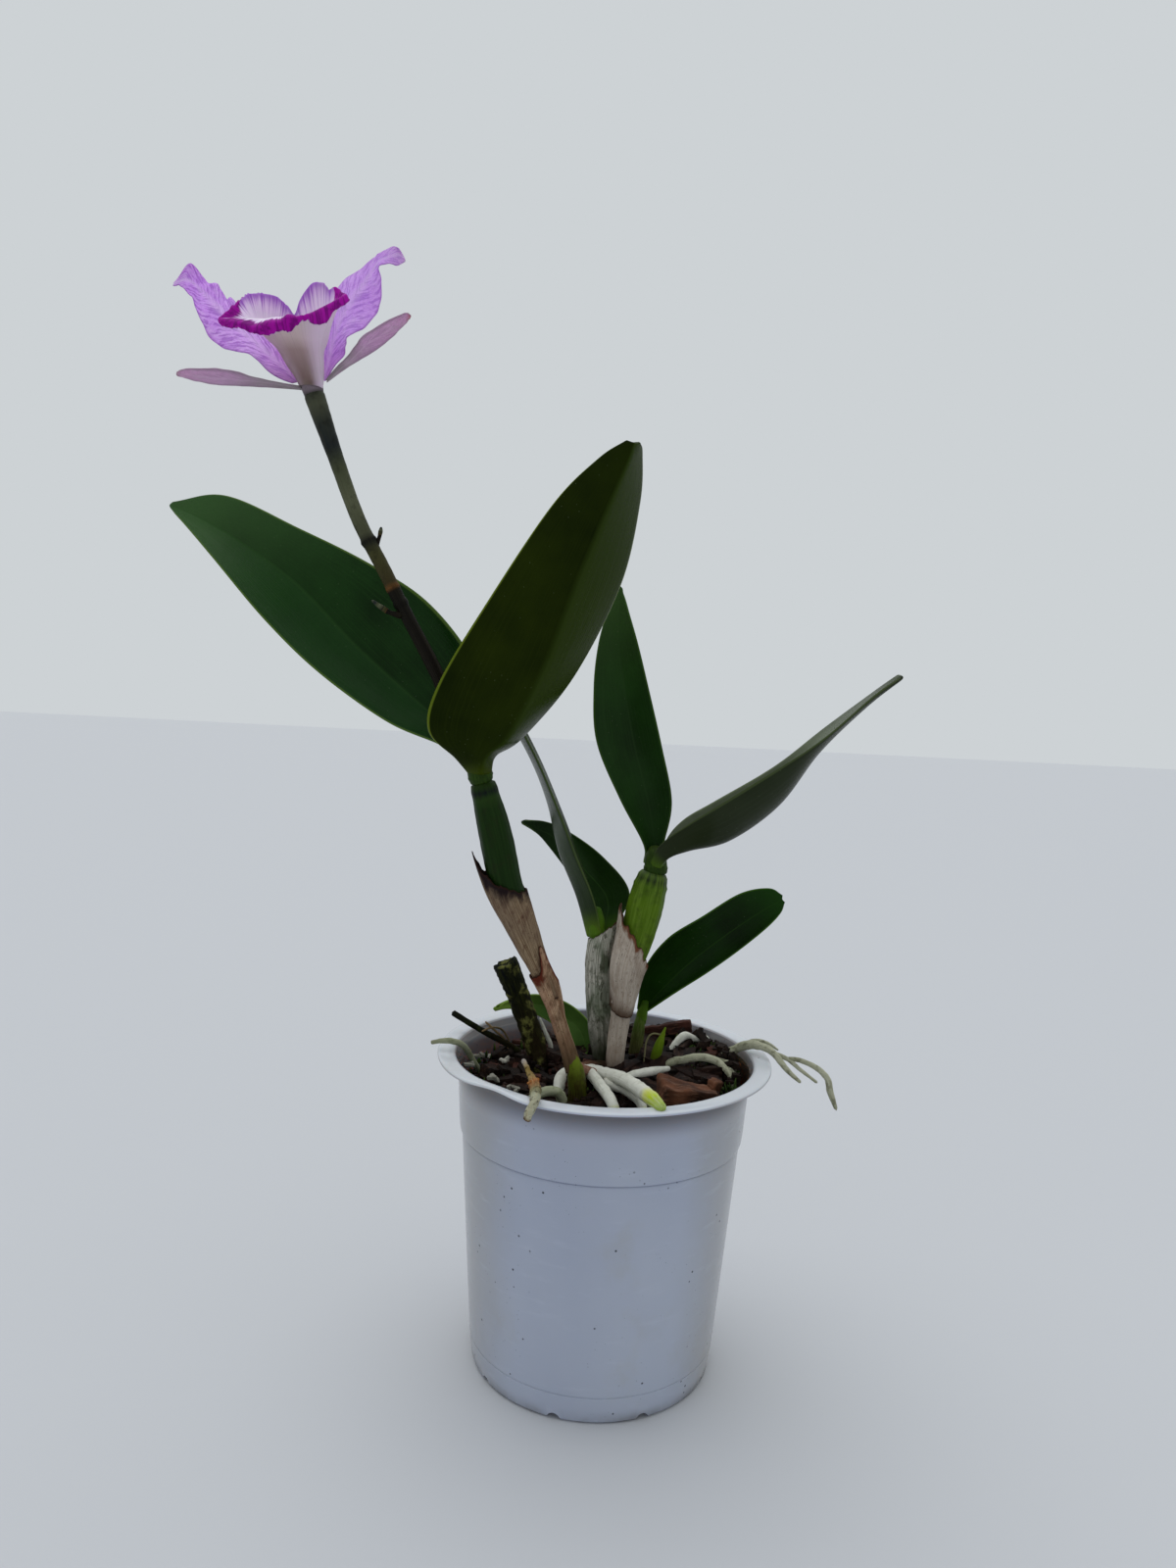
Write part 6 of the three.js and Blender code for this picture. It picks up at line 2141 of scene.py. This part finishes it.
@dataclass
class Flower:
    """The stem and bloom: three sepals, two petals, the lip and the column."""

    lip_rings: Sequence[tuple[Point, float]] = (
        ((-104.4, -32.7, 332.2), 3.4),
        ((-104.8, -33.4, 334.7), 4.2),
        ((-105.8, -35, 338), 5.6),
        ((-107, -37.5, 342.5), 7.2),
        ((-108, -41.5, 346.5), 10.5),
    )
    lip_fold: Sequence[Point] = (
        (-107, -58.5, 344), (-105, -58.5, 345.5), (-102.5, -58, 345.5), (-100.5, -56.5, 346.5),
        (-98.5, -54, 348.5), (-96.5, -51, 351), (-94.5, -48, 353.5), (-92.5, -44.5, 356.5),
        (-93.5, -43, 357), (-96, -40.5, 359), (-98, -39, 359), (-100, -37.5, 361), (-103.5, -36, 361.5),
        (-106, -35, 359.5), (-108, -34, 357), (-109.5, -33, 354), (-110.5, -33, 353.5), (-111.5, -34, 354.5),
        (-113, -35.5, 355.5), (-114.5, -37.5, 356.5), (-117, -39.5, 356.5), (-119.5, -42, 355.5),
        (-121, -44.5, 354.5), (-123, -47, 351.5), (-124.5, -49.5, 348.5), (-126, -51.5, 346),
        (-123.5, -53, 345.5), (-119, -55.5, 344), (-114.5, -57.5, 342.5), (-110.5, -58.5, 343.5),
    )
    lip_margin: Sequence[Point] = (
        (-106, -59.5, 341), (-104, -59, 340.5), (-102, -58.5, 343), (-100, -57, 345), (-97.5, -55, 344.5),
        (-95, -52, 346.5), (-94, -49, 350.5), (-90.5, -45, 355), (-93, -42, 358), (-96, -39.5, 361),
        (-98.5, -38, 360), (-100.5, -36.5, 362.5), (-104, -35, 363), (-106.5, -34, 361),
        (-108.5, -33, 358.5), (-110, -32, 355), (-111, -32, 354.5), (-112, -33, 356), (-113, -34.5, 357),
        (-115, -36.5, 358), (-117.5, -38.5, 358), (-119.5, -41, 357.5), (-122, -43.5, 356),
        (-123.5, -46, 353), (-125.5, -49, 349.5), (-127.5, -51.5, 346), (-126, -53.5, 343.5),
        (-120, -56, 342), (-114, -58, 340), (-109.5, -59.5, 339.5),
    )
    lip_thickness: float = 0.45
    frill: float = 0.6
    tepal_thickness: float = 0.5
    petal_ruffle: float = 0.9
    sepal_ruffle: float = 0.2
    stem_nodes: Sequence[Point] = (
        (0.14, 0.004, 0.2), (0.25, 0.004, 0.2), (0.465, 0.008, 0.35), (0.515, 0.006, 0.2),
        (0.655, 0.008, 0.45),
    )

    def tepal_finish(self, node: str) -> TepalFinish:
        """The finish of a petal or sepal by its node's name.

        Args:
            node: The node's name.

        Returns:
            Its finish.
        """
        if node == "petal_left":
            stops: Stops = ((0.0, "#d49cde"), (0.25, "#dcaafc"), (0.7, "#d094f6"), (1.0, "#cca4de"))
            return TepalFinish(node, stops, "#8838b0", 0.6, veins_along=46)
        if node == "petal_right":
            stops = ((0.0, "#c280cc"), (0.3, "#d6a6fa"), (0.75, "#d09cf2"), (1.0, "#cfacda"))
            return TepalFinish(node, stops, "#9154be", 0.52, veins_along=46)
        tip = "#b2695e" if node == "sepal_right" else "#a88a90"
        stops = ((0.0, "#84827a"), (0.3, "#a3949b"), (0.5, "#cba6c6"), (0.85, "#cfa6c2"), (0.96, tip))
        return TepalFinish(node, stops, "#9a7298", 0.35, "#d8bcd4", 0.15, "#857c80", 0.6, 0.7)

    def lip_mesh(self) -> Mesh:
        """The lip: a tube that opens into two lobes and a frilled front edge rolled outwards.

        Returns:
            The mesh, in metres, not yet thick.
        """
        edges = [Rail(points, closed=True) for points in (self.lip_fold, self.lip_margin)]
        sheet = Sheet(210, 48)

        def place(u: float, v: float) -> Spot:
            """The lip's surface; angles run from the front to the right.

            Args:
                u: From -1 to 1 round it.
                v: From 0 to 1 along it.

            Returns:
                The point in millimetres, its grain and its share of the thickness.
            """
            angle = u * math.pi
            turn = (u / 2) % 1.0
            out = Vector((math.sin(angle), -math.cos(angle), 0))
            tube = [tuple(Vector(centre) + out * radius) for centre, radius in self.lip_rings]
            spot = Rail([*tube, *(tuple(edge.at(turn)) for edge in edges)]).at(v)
            ring = Vector((math.cos(angle), math.sin(angle), 0))
            fine = noise.noise(ring * 13 + Vector((0, 0, v * 2)))
            crimp = noise.noise(ring * 34)
            spot.z += self.frill * (0.8 * v**7 * fine + 0.7 * v**14 * crimp)
            spot += out * (self.frill * (0.9 * v**7 * fine + 0.5 * v**14 * crimp))
            return spot, (math.cos(angle), math.sin(angle), v), 1 - 0.4 * v

        sheet.shape(place)
        sheet.close(capped=False)
        lowest = min(sheet.mesh.faces, key=lambda face: face.calc_center_median().z)
        away = lowest.calc_center_median() - Vector(self.lip_rings[0][0]) * MM
        if lowest.normal.dot(away) < 0:
            bmesh.ops.reverse_faces(sheet.mesh, faces=sheet.mesh.faces)
        return sheet.mesh

    def build(self) -> None:
        """Makes the stem and every part of the bloom."""
        olive: Stops = (
            (0.0, "#14160a"), (0.14, "#160f09"), (0.42, "#100c08"), (0.465, "#0a0806"),
            (0.505, "#120e08"), (0.515, "#65421f"), (0.53, "#3a321b"), (0.62, "#434325"),
            (0.645, "#23251b"), (0.655, "#0d0d0d"), (0.675, "#4a4c38"), (0.76, "#5d6049"),
            (0.83, "#474c36"), (0.88, "#1e2427"), (0.93, "#2c312c"), (0.97, "#4c4f3e"),
            (1.0, "#3c4136"),
        )
        stem = FLOWER_STEM.mesh(24, 160, 0.4, 0.03, self.stem_nodes)
        bracts = [bract.mesh(12, 24, 0.9, 0.1) for bract in STEM_BRACTS]
        finish = SkinFinish("stem_skin", olive, "#3d3a26", 0.25, "#100d08", 0.35, 260, 0.5, 0.15)
        Piece(
            "flower_stem_body", join_meshes([stem, *bracts]), "flower_stem", [finish.material()],
            ["flower_stem"],
        ).make()
        mauve: Stops = ((0.25, "#2e2f2a"), (0.42, "#7d7078"), (1.0, "#98848f"))
        skin = SkinFinish("bloom_base_skin", mauve, "#5e5658", 0.3, "#4a4644", 0.3).material()
        Piece("bloom_base", RECEPTACLE.mesh(20, 24, 0.6), "flower_stem", [skin]).make()
        for node, blade in TEPALS.items():
            petal = node.startswith("petal")
            ruffle = self.petal_ruffle if petal else self.sepal_ruffle
            Piece(
                f"{node}_blade", blade.mesh(28, 72, ruffle), "petal" if petal else "sepal",
                [self.tepal_finish(node).material()], [node],
                thickness=self.tepal_thickness, smoothing=1,
            ).make()
        faces = [LipFinish(face).material() for face in (LipFace.OUTSIDE, LipFace.INSIDE)]
        Piece(
            "lip_trumpet", self.lip_mesh(), "lip", faces, ["lip"],
            thickness=self.lip_thickness, inner_material=1,
        ).make()
        cream: Stops = ((0.0, "#d8cfd9"), (0.8, "#efe6f2"), (1.0, "#d9b6e0"))
        skin = SkinFinish("column_skin", cream, "#f2ecf4", 0.4, "#c7a8cf", 0.3, 300, 0.45).material()
        Piece("column_body", COLUMN.mesh(20, 40, 0.9), "column", [skin], ["column"]).make()


# Studio.


@dataclass
class Studio:
    """The floor, the light and the camera."""

    eye: Point = (-10.7456, -385.06, 238.248)
    pitch: float = 4.427
    roll: float = 2.833
    lens: float = 24.975
    sensor: float = 36.0
    floor_size: float = 6.0
    floor_colour: Colour = "#c4c6ca"
    sky: Colour = "#cdd2d5"
    sky_strength: float = 1.0
    sun_strength: float = 1.2
    sun_softness: float = 75.0
    sun_aim: Point = (0.12, -0.3, -1.0)

    def camera(self) -> None:
        """Sets the camera at the eye, pitched down and rolled."""
        data = bpy.data.cameras.new("eye")
        data.sensor_width = self.sensor
        data.lens = self.lens
        data.clip_start = 0.01
        down, roll = math.radians(self.pitch), math.radians(self.roll)
        forward = Vector((0, math.cos(down), -math.sin(down)))
        right = Vector((1, 0, 0))
        up = right.cross(forward)
        across = right * math.cos(roll) + up * math.sin(roll)
        above = up * math.cos(roll) - right * math.sin(roll)
        turn = Matrix((across, above, -forward)).transposed().to_4x4()
        camera = link("eye", data)
        camera.matrix_world = Matrix.Translation(Vector(self.eye) * MM) @ turn
        bpy.context.scene.camera = camera

    def overhead(self) -> None:
        """A wide soft light from above and a little behind."""
        data = bpy.data.lights.new("overhead", "SUN")
        data.energy = self.sun_strength
        data.angle = math.radians(self.sun_softness)
        lamp = link("overhead", data)
        lamp.rotation_euler = (-Vector(self.sun_aim)).to_track_quat("Z", "Y").to_euler()

    def floor(self) -> None:
        """A plain pale floor."""
        mesh = bmesh.new()
        bmesh.ops.create_grid(mesh, x_segments=2, y_segments=2, size=self.floor_size)
        data = bpy.data.meshes.new("floor")
        mesh.to_mesh(data)
        mesh.free()
        shader = Shader("floor", Roughness=0.8, Specular_IOR_Level=0.2)
        shader.colour = linear(self.floor_colour)
        data.materials.append(shader.finish())
        floor = link("floor", data)

    def build(self) -> None:
        """Makes the studio."""
        scene = bpy.context.scene
        scene.view_settings.view_transform = "Standard"
        world = bpy.data.worlds.new("studio")
        world.use_nodes = True
        backdrop = world.node_tree.nodes["Background"]
        backdrop.inputs["Color"].default_value = linear(self.sky)
        backdrop.inputs["Strength"].default_value = self.sky_strength
        scene.world = world
        self.overhead()
        self.floor()
        self.camera()


# The whole.


def main() -> None:
    """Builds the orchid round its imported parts."""
    logging.basicConfig(level=logging.INFO, format="%(message)s")
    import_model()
    Studio().build()
    for part in (Pot(), BarkMix(), Shoots(), Roots(), Foliage(), Flower()):
        LOG.info("building %s", type(part).__name__)
        part.build()


if __name__ == "__main__":
    main()
